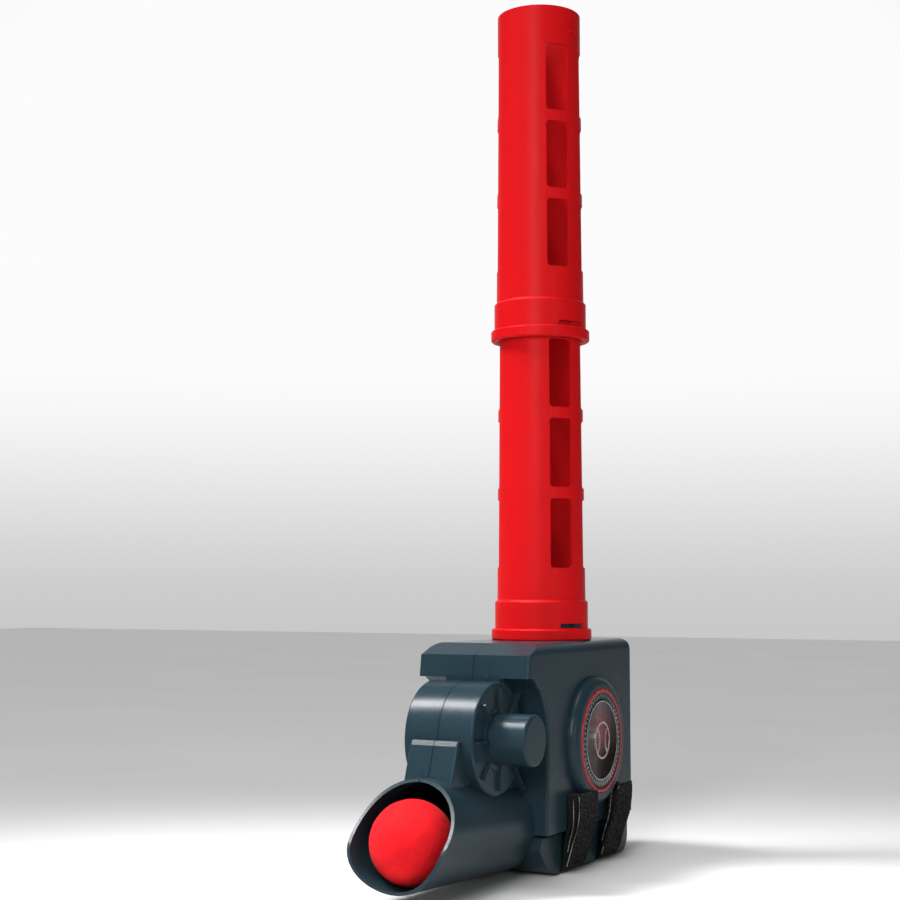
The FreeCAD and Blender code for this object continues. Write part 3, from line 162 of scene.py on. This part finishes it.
def foam_rubber(name, light, dark):
    """Matt closed-cell foam with a skin of fine pores, with painted shade in the pores."""
    s = Shader(name)
    cloud = s.remap(s.noise(38.0, 5.0, 0.65), 0.35, 0.68)
    colour = s.blend(cloud, dark, light)
    pores = s.node("ShaderNodeTexVoronoi", {"Vector": s.where, "Scale": 900.0}).outputs["Distance"]
    pit_depth_and_shade = s.remap(pores, 0.05, 0.40, 1.0, 0.0)
    # painted shade: the pores are coloured darker, and the same mask sinks them in the bump
    colour = s.blend(s.math("MULTIPLY", pit_depth_and_shade, 0.30), colour, darker(dark, 0.35))
    height = s.math("SUBTRACT", s.math("MULTIPLY", s.noise(420.0, 4.0, 0.7), 0.35 * MM),
                    s.math("MULTIPLY", pit_depth_and_shade, 0.10 * MM))
    rough = s.remap(s.noise(160.0, 3.0), 0.3, 0.7, 0.66, 0.86)
    s.set(Base_Color=colour, Roughness=rough, Normal=s.bump(height, 0.7))
    s.set(Sheen_Weight=0.02, Sheen_Roughness=0.5, Specular_IOR_Level=0.08)
    return s.material


def fabric(s, tone, gap, thread, height):
    """Finish a cloth material from how much thread shows and how high it stands."""
    s.set(Base_Color=s.blend(tone, gap, thread), Roughness=0.9, Normal=s.bump(height, 0.9))
    s.set(Sheen_Weight=0.08, Sheen_Roughness=0.4, Specular_IOR_Level=0.15)
    return s.material


def woven_band(name, thread, gap):
    """Tight woven webbing."""
    s = Shader(name)
    level = s.math("MULTIPLY", s.noise(1600.0, 3.0, 0.7), 0.3)
    for scale, direction in ((190.0, "Y"), (260.0, "Z")):
        inputs = {"Vector": s.where, "Scale": scale, "Distortion": 0.6, "Detail": 1.0}
        yarn = s.node("ShaderNodeTexWave", inputs, bands_direction=direction).outputs["Fac"]
        level = s.math("ADD", level, s.math("MULTIPLY", yarn, 0.35))
    return fabric(s, s.remap(level, 0.25, 0.8), gap, thread, s.math("MULTIPLY", level, 0.35 * MM))


def loop_pile_with_painted_light(name, thread, gap):
    """The looped face of a hook and loop tape; the lighter loop tops and near black gaps are partly
    its own tone, partly painted highlight and painted shade.
    """
    s = Shader(name)
    cells = s.node("ShaderNodeTexVoronoi", {"Vector": s.where, "Scale": 620.0})
    curls = s.remap(cells.outputs["Distance"], 0.15, 0.60, 1.0, 0.0)
    tufts = s.remap(s.noise(260.0, 4.0, 0.7), 0.42, 0.62)
    level = s.math("MULTIPLY", curls, s.math("ADD", s.math("MULTIPLY", tufts, 0.85), 0.15))
    # high loops take the lighter colour (partly painted highlight), low ones the near black (partly
    # painted shade)
    return fabric(s, s.remap(level, 0.10, 0.75), gap, thread, s.math("MULTIPLY", level, 1.2 * MM))


def metal(name, colour, rough, stretch):
    """Turned or drawn metal with fine lines along one direction."""
    s = Shader(name)
    lines = s.noise(900.0, 4.0, 0.6, stretch=stretch)
    stain = s.noise(60.0, 4.0, 0.6)
    tone = s.remap(stain, 0.3, 0.7)
    s.set(Base_Color=s.blend(tone, darker(colour, 0.78), colour), Metallic=1.0)
    s.set(Roughness=s.remap(lines, 0.3, 0.7, rough - 0.08, rough + 0.1))
    s.set(Normal=s.bump(s.math("MULTIPLY", lines, 0.02 * MM), 0.6))
    return s.material


def cell_wrap(name):
    """Printed sleeve of a dry cell: dark body, copper shoulder, on both layers of cells."""
    s = Shader(name)
    _, _, z = s.axes()
    lower = s.math("MULTIPLY", s.math("GREATER_THAN", z, 50.0 * MM),
                   s.math("LESS_THAN", z, 61.5 * MM))
    band = s.math("ADD", lower, s.math("GREATER_THAN", z, 100.0 * MM), clamp=True)
    scuff = s.remap(s.noise(120.0, 4.0, 0.7), 0.55, 0.75, 0.0, 0.4)
    colour = s.blend(band, (0.016, 0.016, 0.02), (0.55, 0.23, 0.07))
    colour = s.blend(scuff, colour, (0.10, 0.10, 0.11))
    s.set(Base_Color=colour, Roughness=s.remap(s.noise(80.0, 3.0), 0.3, 0.7, 0.22, 0.40))
    s.set(Metallic=s.math("MULTIPLY", band, 0.8))
    s.set(Normal=s.bump(s.math("MULTIPLY", scuff, 0.05 * MM), 0.3))
    return s.material


def circuit(name):
    """Solder mask with copper tracks under it."""
    s = Shader(name)
    upright = s.node("ShaderNodeMapping", {"Vector": s.where, "Rotation": (0.0, math.pi / 2, 0.0)})
    inputs = {"Vector": upright.outputs[0], "Scale": 160.0, "Mortar Size": 0.05}
    tracks = s.node("ShaderNodeTexBrick", inputs).outputs["Fac"]
    lit = s.math("MULTIPLY", tracks, s.remap(s.noise(90.0, 2.0), 0.45, 0.55))
    s.set(Base_Color=s.blend(lit, (0.006, 0.07, 0.022), (0.05, 0.22, 0.06)), Roughness=0.35)
    s.set(Normal=s.bump(s.math("MULTIPLY", lit, 0.06 * MM), 0.5))
    return s.material


def badge_print(name, centre, radii):
    """Rings round the badge's centre: a dark red field, brighter near a spot above the centre and
    near black away from it, then a printed silver line, black band and red rim.
    """
    s = Shader(name)
    _, y, z = s.axes()
    dy = s.math("SUBTRACT", y, centre.y)
    dz = s.math("SUBTRACT", z, centre.z)
    radius = s.length(dy, dz)
    # the dark red field is brightest 3 mm towards -Y and 8 mm above the centre and fades to near
    # black 26 mm from there
    bright_spot_distance = s.length(s.math("ADD", dy, 3.0 * MM), s.math("SUBTRACT", dz, 8.0 * MM))
    fade = s.remap(bright_spot_distance, 3.0 * MM, 26.0 * MM)
    colour = s.blend(fade, (0.16, 0.004, 0.006), (0.010, 0.0015, 0.002))
    inks = ((0.40, 0.42, 0.44), (0.005, 0.005, 0.006), (0.42, 0.006, 0.010))
    for edge, ink in zip(radii, inks):
        colour = s.blend(s.math("GREATER_THAN", radius, edge), colour, ink)
    dust = s.remap(s.noise(700.0, 3.0, 0.7), 0.62, 0.80, 0.0, 0.06)
    colour = s.blend(dust, colour, (0.30, 0.30, 0.31))
    rough = s.remap(s.noise(70.0, 4.0, 0.6), 0.3, 0.7, 0.22, 0.34)
    s.set(Base_Color=colour, Roughness=rough, Specular_IOR_Level=0.25)
    s.set(Normal=s.bump(s.math("MULTIPLY", s.noise(240.0, 2.0), 0.03 * MM), 0.5))
    return s.material


def floor_material(name):
    s = Shader(name)
    tone = s.remap(s.noise(3.0, 3.0), 0.3, 0.7)
    s.set(Base_Color=s.blend(tone, (0.70, 0.70, 0.70), (0.73, 0.73, 0.73)), Roughness=0.8,
          Specular_IOR_Level=0.1)
    return s.material


SLATE_TONES = ((0.0155, 0.0325, 0.0435), (0.0135, 0.029, 0.039))
SLATE = moulded_plastic("slate_plastic", *SLATE_TONES, 0.28, gloss=0.14, seam=True)
SLATE_PLAIN = moulded_plastic("slate_plastic_door", *SLATE_TONES, 0.28, gloss=0.14)
RED = moulded_plastic("red_plastic", (0.57, 0.006, 0.009), (0.52, 0.004, 0.006), 0.42, gloss=0.08)
FOAM = foam_rubber("ball_foam", (0.70, 0.010, 0.015), (0.56, 0.006, 0.010))
WEBBING = woven_band("webbing", (0.012, 0.0115, 0.0115), (0.002, 0.002, 0.002))
# loop pile: lighter loop tops are partly painted highlight, near black gaps partly painted shade
PILE_WITH_PAINTED_LIGHT = loop_pile_with_painted_light("loop_pile_with_painted_light", (0.042, 0.037, 0.035), (0.0010, 0.0009, 0.0009))
# pale grey stitching: real thread whose light colour also stands in for the highlight along the
# layer edges (painted highlight)
THREAD_AND_EDGE_HIGHLIGHT = woven_band("strap_thread_and_edge_highlight", (0.42, 0.41, 0.40), (0.03, 0.03, 0.03))
ACETAL = moulded_plastic("gear_plastic", (0.74, 0.71, 0.63), (0.66, 0.63, 0.55), 0.34)
DARK = moulded_plastic("dark_plastic", (0.022, 0.023, 0.026), (0.013, 0.014, 0.016), 0.50,
                       grain=0.02 * MM)
TYRE = moulded_plastic("wheel_rubber", (0.030, 0.029, 0.028), (0.016, 0.016, 0.016), 0.72,
                       grain=0.04 * MM)
STEEL = metal("steel", (0.58, 0.59, 0.60), 0.28, (1.0, 12.0, 12.0))
CAN = metal("motor_can", (0.50, 0.51, 0.53), 0.36, (12.0, 1.0, 1.0))
BRONZE = metal("bronze", (0.60, 0.38, 0.18), 0.40, (12.0, 1.0, 1.0))

FINISHES = {
    "slate_plastic": SLATE, "red_plastic": RED, "ball_foam": FOAM, "webbing": WEBBING,
    "gear_plastic": ACETAL, "dark_plastic": DARK, "wheel_rubber": TYRE, "steel": STEEL,
    "motor_can": CAN, "bronze": BRONZE, "cell_wrap": cell_wrap("cell_wrap"),
    "board_green": circuit("board_green"),
}

slots = {entry["node"]: entry["material_slot"] for entry in frame["record"]["subparts"]}
for node, thing in frame["nodes"].items():
    finish = SLATE_PLAIN if node == "battery_door" else FINISHES.get(slots[node])
    if finish is not None:
        thing.data.materials.clear()
        thing.data.materials.append(finish)


# ---------------------------------------------------------------- edges of the CAD parts

WELD_DISTANCE = 0.004 * MM
EDGE_SOFTNESS = {
    "housing_right": 1.2 * MM, "housing_left": 1.2 * MM, "magazine_lower": 0.35 * MM,
    "magazine_upper": 0.35 * MM, "battery_door": 0.3 * MM, "switch_knob": 0.25 * MM,
}


def soften(node, width):
    """Break the sharp edges of a CAD node the way a mould does."""
    thing = frame["nodes"][node]
    weld = thing.modifiers.new("weld", "WELD")
    weld.merge_threshold = WELD_DISTANCE
    bevel = thing.modifiers.new("bevel", "BEVEL")
    bevel.width = width
    bevel.segments = 2
    bevel.limit_method = "ANGLE"
    bevel.angle_limit = math.radians(32.0)
    bevel.use_clamp_overlap = True
    bevel.harden_normals = False
    normals = thing.modifiers.new("normals", "WEIGHTED_NORMAL")
    normals.keep_sharp = True


for node, width in EDGE_SOFTNESS.items():
    soften(node, width)


# ---------------------------------------------------------------- meshes


def piece(name, mesh, body, materials, smooth=True):
    """A finished mesh that rides on a CAD body."""
    thing = bpy.data.objects.new(name, mesh)
    bpy.context.scene.collection.objects.link(thing)
    for material in materials:
        mesh.materials.append(material)
    for polygon in mesh.polygons:
        polygon.use_smooth = smooth
    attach(thing, body)
    return thing


def mend(mesh, join=0.0, where=lambda vert: True):
    """Join the vertices picked by where() that lie closer than this, and turn the faces outward."""
    shape = bmesh.new()
    shape.from_mesh(mesh)
    if join:
        picked = [vert for vert in shape.verts if where(vert)]
        bmesh.ops.remove_doubles(shape, verts=picked, dist=join)
    bmesh.ops.recalc_face_normals(shape, faces=shape.faces)
    shape.to_mesh(mesh)
    shape.free()


def mesh_from(name, verts, faces, join=0.0):
    mesh = bpy.data.meshes.new(name)
    mesh.from_pydata([tuple(vert) for vert in verts], [], faces)
    mesh.validate()
    mend(mesh, join)
    return mesh


# ---------------------------------------------------------------- ball


SKIN_LUMPS = ((5.0, 0.22 * MM), (26.0, 0.10 * MM))
SKIN_DEPTH = 0.20 * MM
MOULD_LINE_NORMAL = Vector((0.35, 0.1, 0.93))
MOULD_LINE_SPREAD = 0.012
MOULD_LINE_HEIGHT = 0.16 * MM


def build_ball():
    """Foam ball with a slightly uneven skin and a faint mould line."""
    low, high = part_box("ball")
    centre = (low + high) / 2
    radius = (high.x - low.x) / 2
    shape = bmesh.new()
    bmesh.ops.create_icosphere(shape, subdivisions=6, radius=1.0)
    for vert in shape.verts:
        out = vert.co.normalized()
        off_line = out.dot(MOULD_LINE_NORMAL) / MOULD_LINE_SPREAD
        skin = MOULD_LINE_HEIGHT * math.exp(-off_line ** 2) - SKIN_DEPTH
        for scale, height in SKIN_LUMPS:
            skin += noise.noise(out * scale) * height
        vert.co = centre + out * (radius + skin)
    mesh = bpy.data.meshes.new("foam_ball")
    shape.to_mesh(mesh)
    shape.free()
    ball = piece("foam_ball", mesh, "ball", [FOAM])
    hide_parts("ball")


# ---------------------------------------------------------------- badge


def raised_strip(verts, faces, line, width, base, height, closed):
    """A thin raised band along a centre line of (y, z) points on a face that looks along +X."""
    start = len(verts)
    count = len(line)
    for index, point in enumerate(line):
        before = line[index - 1] if closed or index > 0 else point
        after = line[(index + 1) % count] if closed or index < count - 1 else point
        along = (after - before).normalized()
        across = Vector((-along.y, along.x)) * (width / 2)
        for side in (across, -across):
            for x in (base, base + height):
                verts.append(Vector((x, (point + side).x, (point + side).y)))
    spans = count if closed else count - 1
    for index in range(spans):
        a = start + index * 4
        b = start + ((index + 1) % count) * 4
        for p, q in ((0, 1), (1, 3), (3, 2), (2, 0)):
            faces.append((a + p, a + q, b + q, b + p))
    if not closed:
        last = start + (count - 1) * 4
        faces.append((start, start + 2, start + 3, start + 1))
        faces.append((last, last + 1, last + 3, last + 2))


def arc(centre, radius, start, sweep, steps):
    turns = [start + sweep * step / steps for step in range(steps + 1)]
    return [centre + Vector((math.cos(turn), math.sin(turn))) * radius for turn in turns]


def turned_disc(profile, centre, steps):
    """Verts and faces of a (radius, x) profile turned about the X axis through centre."""
    verts = []
    faces = []
    rows = len(profile)
    for number in range(steps):
        turn = FULL_TURN * number / steps
        for radius, x in profile:
            verts.append((x, centre.y + radius * math.cos(turn), centre.z + radius * math.sin(turn)))
        here = number * rows
        there = (number + 1) % steps * rows
        for row in range(rows - 1):
            faces.append((here + row, there + row, there + row + 1, here + row + 1))
    return verts, faces


RIM_WIDTH = 2.6 * MM
FIELD_LINE = (10.2 * MM, 10.9 * MM)
PATTERN_SINK = 0.20 * MM
PATTERN_BALL = 15.0 * MM
PATTERN_SEAM = 13.2 * MM
SEAM_OFFSET = 19.0 * MM
SEAM_REACH = 0.80
STITCHES = 9
STITCH_HALF = 1.5 * MM
STITCH_LEAN = 0.55 * MM
CHEVRONS = 54
CHEVRON_RADIUS = 36.9 * MM
CHEVRON_HALF = 1.3 * MM
CHEVRON_LEAN = 0.75 * MM


def badge_profile(radius, back, face):
    """Rolled rim, shallow field and a fine step, as (radius, x) from the middle and back again."""
    return [(0.0, back), (radius, back), (radius, face - 0.25 * MM),
            (radius - 0.25 * MM, face + 0.05 * MM), (radius - 1.2 * MM, face + 0.10 * MM),
            (radius - 2.3 * MM, face + 0.05 * MM), (radius - 2.7 * MM, face - 0.15 * MM),
            (radius - 10.1 * MM, face - 0.15 * MM), (radius - 10.3 * MM, face + 0.02 * MM),
            (radius - 10.8 * MM, face + 0.02 * MM), (radius - 11.0 * MM, face - 0.15 * MM),
            (0.0, face - 0.05 * MM)]


def bent_mark(middle, angle, radius, half, lean):
    """Three points across a circle, with the middle one leaning back: a stitch or a chevron."""
    out = Vector((math.cos(angle), math.sin(angle)))
    aside = Vector((-out.y, out.x)) * lean
    return [middle + out * (radius - half) + aside, middle + out * radius - aside,
            middle + out * (radius + half) + aside]


def badge_pattern(middle, face):
    """Verts and faces of a raised ball outline, its two stitched seams and a ring of chevrons."""
    verts = []
    faces = []
    base = face - PATTERN_SINK
    outline = arc(middle, PATTERN_BALL, 0.0, FULL_TURN, 96)[:-1]
    raised_strip(verts, faces, outline, 1.5 * MM, base, 0.45 * MM, True)
    for side in (1, -1):
        seam_centre = middle + Vector((SEAM_OFFSET * side, 0.0))
        start = (0.0 if side < 0 else math.pi) - SEAM_REACH
        seam = arc(seam_centre, PATTERN_SEAM, start, 2 * SEAM_REACH, 40)
        raised_strip(verts, faces, seam, 0.7 * MM, base, 0.40 * MM, False)
        for number in range(STITCHES):
            angle = start + 2 * SEAM_REACH * (number + 0.5) / STITCHES
            stitch = bent_mark(seam_centre, angle, PATTERN_SEAM, STITCH_HALF, STITCH_LEAN)
            raised_strip(verts, faces, stitch, 0.55 * MM, base, 0.46 * MM, False)
    for number in range(CHEVRONS):
        angle = FULL_TURN * number / CHEVRONS
        chevron = bent_mark(middle, angle, CHEVRON_RADIUS, CHEVRON_HALF, CHEVRON_LEAN)
        raised_strip(verts, faces, chevron, 0.6 * MM, base - 0.05 * MM, 0.22 * MM, False)
    return verts, faces


def build_badge():
    """Printed disc with a rolled rim and a plain raised ball pattern."""
    low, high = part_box("badge_disc")
    centre = (low + high) / 2
    radius = (high.y - low.y) / 2
    profile = badge_profile(radius, low.x, high.x)
    mesh = mesh_from("badge", *turned_disc(profile, centre, 160), join=0.0001 * MM)
    rings = (radius - FIELD_LINE[1], radius - FIELD_LINE[0], radius - RIM_WIDTH)
    ink = badge_print("badge_print", centre, rings)
    disc = piece("badge_face", mesh, "housing", [ink])
    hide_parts("badge_disc")

    mesh = mesh_from("badge_pattern", *badge_pattern(Vector((centre.y, centre.z)), high.x))
    silver = metal("badge_silver", (0.62, 0.63, 0.65), 0.34, (1.0, 8.0, 8.0))
    piece("badge_pattern", mesh, "housing", [silver], smooth=False)


# ---------------------------------------------------------------- straps

# Centre lines of the layers on the right side, as (x, z) in millimetres, from the bottom up.
INNER_PATH = [(0, 1.7), (24, 1.7), (40, 1.7), (44.4, 1.9), (46.7, 3.8), (47.3, 9), (48.3, 21),
              (49.6, 30), (52.2, 36.6), (52.4, 44), (51.9, 54), (51.8, 63.6)]
MIDDLE_PATH = [(50.6, 13), (51.5, 19), (53.2, 27), (55.5, 35.5), (56.3, 44), (55.9, 54),
               (55.5, 63.0)]
OUTER_PATH = [(49.6, 3.0), (51.1, 8), (53.5, 16), (56.4, 26), (59.6, 36), (61.0, 45),
              (61.3, 52), (60.9, 59), (60.0, 64.2)]
# centre line, spacing, thickness, shift of the front and rear edges, pile height, end radius
LAYERS = (
    (INNER_PATH, 1.2 * MM, 2.0 * MM, 0.0, 0.0, 0.0, 0.0),
    (MIDDLE_PATH, 1.2 * MM, 2.2 * MM, 0.6 * MM, -0.4 * MM, 0.0, 0.0),
    (OUTER_PATH, 0.8 * MM, 2.0 * MM, 0.2 * MM, 0.2 * MM, 0.7 * MM, 11.0 * MM),
)
# How far the front and rear edge of each layer slide back on the way up, in millimetres.
LEANS = {
    "strap_front": ((1.5, 0.0), (2.5, 1.5), (3.5, 3.5)),
    "strap_rear": ((12.0, 0.0), (14.0, 3.0), (17.0, 7.5)),
}
BOSS_RADIUS = 55.4 * MM
SELVAGE = 1.0 * MM
SELVAGE_SHARE = 0.35
PILE_EDGE = 1.5 * MM
WANDER = 0.30 * MM
THREAD_RADIUS = 0.30 * MM
WOVEN, LOOPED, STITCHED = range(3)
CURVE_STEPS = 24


def smooth_path(points, spacing):
    """Evenly spaced points on a Catmull-Rom curve through (x, z) points given in millimetres."""
    knots = [Vector(point) * MM for point in points]
    knots = [knots[0] * 2 - knots[1]] + knots + [knots[-1] * 2 - knots[-2]]
    dense = []
    for index in range(1, len(knots) - 2):
        p0, p1, p2, p3 = knots[index - 1:index + 3]
        for step in range(CURVE_STEPS):
            t = step / CURVE_STEPS
            bend = 2 * p0 - 5 * p1 + 4 * p2 - p3
            twist = 3 * p1 - p0 - 3 * p2 + p3
            dense.append(0.5 * (2 * p1 + (p2 - p0) * t + bend * t ** 2 + twist * t ** 3))
    dense.append(knots[-2])
    lengths = [0.0]
    for a, b in zip(dense, dense[1:]):
        lengths.append(lengths[-1] + (b - a).length)
    count = max(4, round(lengths[-1] / spacing))
    path = []
    index = 0
    for step in range(count + 1):
        target = lengths[-1] * step / count
        while index < len(lengths) - 2 and lengths[index + 1] < target:
            index += 1
        span = lengths[index + 1] - lengths[index]
        path.append(dense[index].lerp(dense[index + 1], (target - lengths[index]) / span))
    return path


class Ribbon:
    """One layer of strap: a band with rounded selvages that follows a path in the X-Z plane."""

    def __init__(self, path, thickness, front, rear, lean, pile, corner, boss):
        self.path = path
        self.thickness = thickness
        self.front = front
        self.rear = rear
        self.lean = lean
        self.pile = pile
        self.corner = corner
        self.boss = boss

    def at(self, place):
        place = min(max(place, 0.0), len(self.path) - 1.000001)
        index = int(place)
        return self.path[index].lerp(self.path[index + 1], place - index)

    def slide(self, across, share):
        """How far the band has slid towards the rear here; its two edges lean differently."""
        front, rear = self.lean
        return (front * (1 - across) + rear * across) * MM * share ** 2

    def start_for(self, edge):
        """How far along the path the band starts at this distance from its edge: a rounded end."""
        if edge >= self.corner:
            return 0.0
        short = self.corner - math.sqrt(self.corner ** 2 - (self.corner - edge) ** 2)
        return short / (self.path[1] - self.path[0]).length

    def end_for(self, y):
        """How far along the path the band reaches in this column, stopping at the round boss."""
        last = len(self.path) - 1
        if self.boss is None:
            return last
        place = last
        while place > last * 0.6:
            if math.hypot(y - self.boss.y, self.at(place).y - self.boss.z) > BOSS_RADIUS:
                break
            place -= 0.25
        return place

    def vertex(self, across, side, share):
        """A point of the skin: across runs from front to rear, side is 1 outside and -1 inside."""
        y = self.front + (self.rear - self.front) * across
        edge = min(across, 1 - across) * (self.rear - self.front)
        first = self.start_for(edge)
        slid = y + self.slide(across, share)
        place = first + share * (self.end_for(slid) - first)
        point = self.at(place)
        along = (self.at(place + 0.5) - self.at(place - 0.5)).normalized()
        spot = Vector((point.x, y, point.y))
        lift = side * self.thickness / 2 * min(1.0, SELVAGE_SHARE + edge / SELVAGE)
        if side > 0 and self.pile:
            fuzz = noise.noise(spot * 960) + 0.6 * noise.noise(spot * 2250)
            lift += self.pile * fuzz * min(1.0, edge / PILE_EDGE)
        skin = point + Vector((along.y, -along.x)) * lift
        return Vector((skin.x, slid + noise.noise(spot * 105) * WANDER, skin.y))

    def build(self, verts, faces, kinds, spacing):
        start = len(verts)
        rows = len(self.path)
        columns = max(6, round((self.rear - self.front) / spacing))
        ring = [(column / columns, 1) for column in range(columns + 1)]
        ring += [(column / columns, -1) for column in range(columns, -1, -1)]
        for row in range(rows):
            verts += [self.vertex(across, side, row / (rows - 1)) for across, side in ring]
        size = len(ring)
        for row in range(rows - 1):
            for number in range(size):
                a = start + row * size + number
                b = start + row * size + (number + 1) % size
                faces.append((a, b, b + size, a + size))
                kinds.append(LOOPED if self.pile and number < columns else WOVEN)
        for row in (0, rows - 1):
            base = start + row * size
            for column in range(columns):
                faces.append((base + column, base + column + 1, base + size - 2 - column,
                              base + size - 1 - column))
                kinds.append(WOVEN)

    def edge_line(self):
        """Where the stitches show along the front edge."""
        last = len(self.path) - 1
        line = []
        for place in range(4, last - 1):
            point = self.at(place)
            y = self.front - THREAD_RADIUS / 2 + self.slide(0.0, place / last)
            line.append(Vector((point.x, y, point.y)))
        return line


def sew(verts, faces, kinds, points):
    """A thin sewing thread that follows the points; its pale colour is partly a painted highlight
    along the layer edges.
    """
    start = len(verts)
    corners = 6
    for index, point in enumerate(points):
        before = points[max(index - 1, 0)]
        after = points[min(index + 1, len(points) - 1)]
        along = (after - before).normalized()
        side = along.cross(Vector((0, 1, 0))).normalized()
        up = side.cross(along)
        radius = THREAD_RADIUS * (1.0 + 0.35 * math.sin(index * 1.9))
        for corner in range(corners):
            turn = FULL_TURN * corner / corners
            verts.append(point + (side * math.cos(turn) + up * math.sin(turn)) * radius)
    for index in range(len(points) - 1):
        for corner in range(corners):
            a = start + index * corners + corner
            b = start + index * corners + (corner + 1) % corners
            faces.append((a, b, b + corners, a + corners))
            kinds.append(STITCHED)
    for base in (start, start + (len(points) - 1) * corners):
        faces.append(tuple(range(base, base + corners)))
        kinds.append(STITCHED)


def build_strap(node, leans):
    """Hook and loop strap: one band under the housing and two more folded up at each side."""
    low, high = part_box(node)
    boss_low, boss_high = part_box("badge_disc")
    verts, faces, kinds = [], [], []
    for side in (1, -1):
        for lean, layer in zip(leans, LAYERS):
            path, spacing, thickness, front, rear, pile, corner = layer
            boss = (boss_low + boss_high) / 2 if side > 0 and not pile else None
            ribbon = Ribbon(smooth_path(path, spacing), thickness, low.y + front, high.y + rear,
                            lean, pile, corner, boss)
            start = len(verts)
            ribbon.build(verts, faces, kinds, spacing)
            if path is not INNER_PATH:
                sew(verts, faces, kinds, ribbon.edge_line())
            for vert in verts[start:]:
                vert.x *= side
    mesh = bpy.data.meshes.new(node)
    mesh.from_pydata([tuple(vert) for vert in verts], [], faces)
    for polygon, kind in zip(mesh.polygons, kinds):
        polygon.material_index = kind
    touching = 0.001 * MM
    mend(mesh, touching, lambda vert: abs(vert.co.x) < touching)
    strap = piece(node + "_layers", mesh, "housing", [WEBBING, PILE_WITH_PAINTED_LIGHT, THREAD_AND_EDGE_HIGHLIGHT])
    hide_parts(node)


build_ball()
build_badge()
for node, leans in LEANS.items():
    build_strap(node, leans)


# ---------------------------------------------------------------- camera, floor and light

CAMERA_AT = Vector((0.6119, -1.3182, 0.2340))
AZIMUTH = math.radians(28.057)
PITCH = math.radians(4.746)
SENSOR_WIDTH = 36.0
LENS = 66.0
LOOK = Vector((-math.sin(AZIMUTH) * math.cos(PITCH), math.cos(AZIMUTH) * math.cos(PITCH),
               math.sin(PITCH)))
FLOOR_REACH = 6.0
FLOOR_DROP = 0.3 * MM
# name, place, aimed at, width, height, watts, spread in degrees
SOFTBOXES = (
    ("key", (0.4, -2.0, 1.1), (0.0, -0.05, 0.38), 0.6, 1.0, 24.0, 180.0),
    ("top left", (-0.90, -0.60, 1.65), (0.0, -0.16, 0.08), 0.45, 0.9, 2.6, 28.0),
    ("edge", (1.65, -0.95, 0.55), (0.0, 0.0, 0.35), 0.12, 1.0, 4.5, 180.0),
)


def put(name, data, at, along):
    """Place a camera or lamp that looks along this direction."""
    thing = bpy.data.objects.new(name, data)
    thing.location = at
    thing.rotation_euler = along.to_track_quat("-Z", "Y").to_euler()
    bpy.context.scene.collection.objects.link(thing)
    return thing


def build_camera():
    data = bpy.data.cameras.new("camera")
    data.sensor_width = SENSOR_WIDTH
    data.lens = LENS
    bpy.context.scene.camera = put("camera", data, CAMERA_AT, LOOK)


def build_floor():
    reach = FLOOR_REACH
    corners = [(-reach, -reach, 0), (reach, -reach, 0), (reach, reach, 0), (-reach, reach, 0)]
    mesh = mesh_from("floor", corners, [(0, 1, 2, 3)])
    mesh.materials.append(floor_material("pale_floor"))
    floor = bpy.data.objects.new("floor", mesh)
    floor.location.z = -FLOOR_DROP
    bpy.context.scene.collection.objects.link(floor)


def map_range(tree, value, **ends):
    """A map range node fed by value; ends are From_Min, From_Max, To_Min and To_Max."""
    made = tree.nodes.new("ShaderNodeMapRange")
    for name, end in ends.items():
        made.inputs[name.replace("_", " ")].default_value = end
    tree.links.new(value, made.inputs["Value"])
    return made


def build_world():
    """A backdrop that rises from pale grey to white behind the object, and a dim studio around."""
    world = bpy.data.worlds.new("studio")
    world.use_nodes = True
    tree = world.node_tree
    nodes = tree.nodes
    links = tree.links
    direction = nodes.new("ShaderNodeTexCoord").outputs["Generated"]
    facing = nodes.new("ShaderNodeVectorMath")
    facing.operation = "DOT_PRODUCT"
    facing.inputs[1].default_value = LOOK
    links.new(direction, facing.inputs[0])
    height = nodes.new("ShaderNodeSeparateXYZ")
    links.new(direction, height.inputs[0])
    climb = map_range(tree, height.outputs["Z"], From_Min=-0.03, From_Max=0.14, To_Min=0.58,
                      To_Max=0.97)
    climb.interpolation_type = "SMOOTHSTEP"
    backdrop = map_range(tree, facing.outputs["Value"], From_Min=0.74, From_Max=0.94, To_Min=0.10)
    links.new(climb.outputs["Result"], backdrop.inputs["To Max"])
    background = nodes["Background"]
    background.inputs["Color"].default_value = (1.0, 1.0, 1.0, 1.0)
    links.new(backdrop.outputs["Result"], background.inputs["Strength"])
    bpy.context.scene.world = world


def build_lights():
    """An even light from above that keeps the floor pale, and the softboxes."""
    data = bpy.data.lights.new("overhead", "SUN")
    data.energy = 1.55
    data.angle = math.radians(30.0)
    put("overhead", data, Vector((0.0, 0.0, 0.0)), Vector((0.05, 0.25, -1.0)))
    for name, at, aim, width, height, watts, spread in SOFTBOXES:
        data = bpy.data.lights.new(name, "AREA")
        data.shape = "RECTANGLE"
        data.size = width
        data.size_y = height
        data.energy = watts
        data.spread = math.radians(spread)
        put(name, data, Vector(at), Vector(aim) - Vector(at))


build_camera()
build_floor()
build_world()
build_lights()
bpy.context.scene.view_settings.view_transform = "Standard"
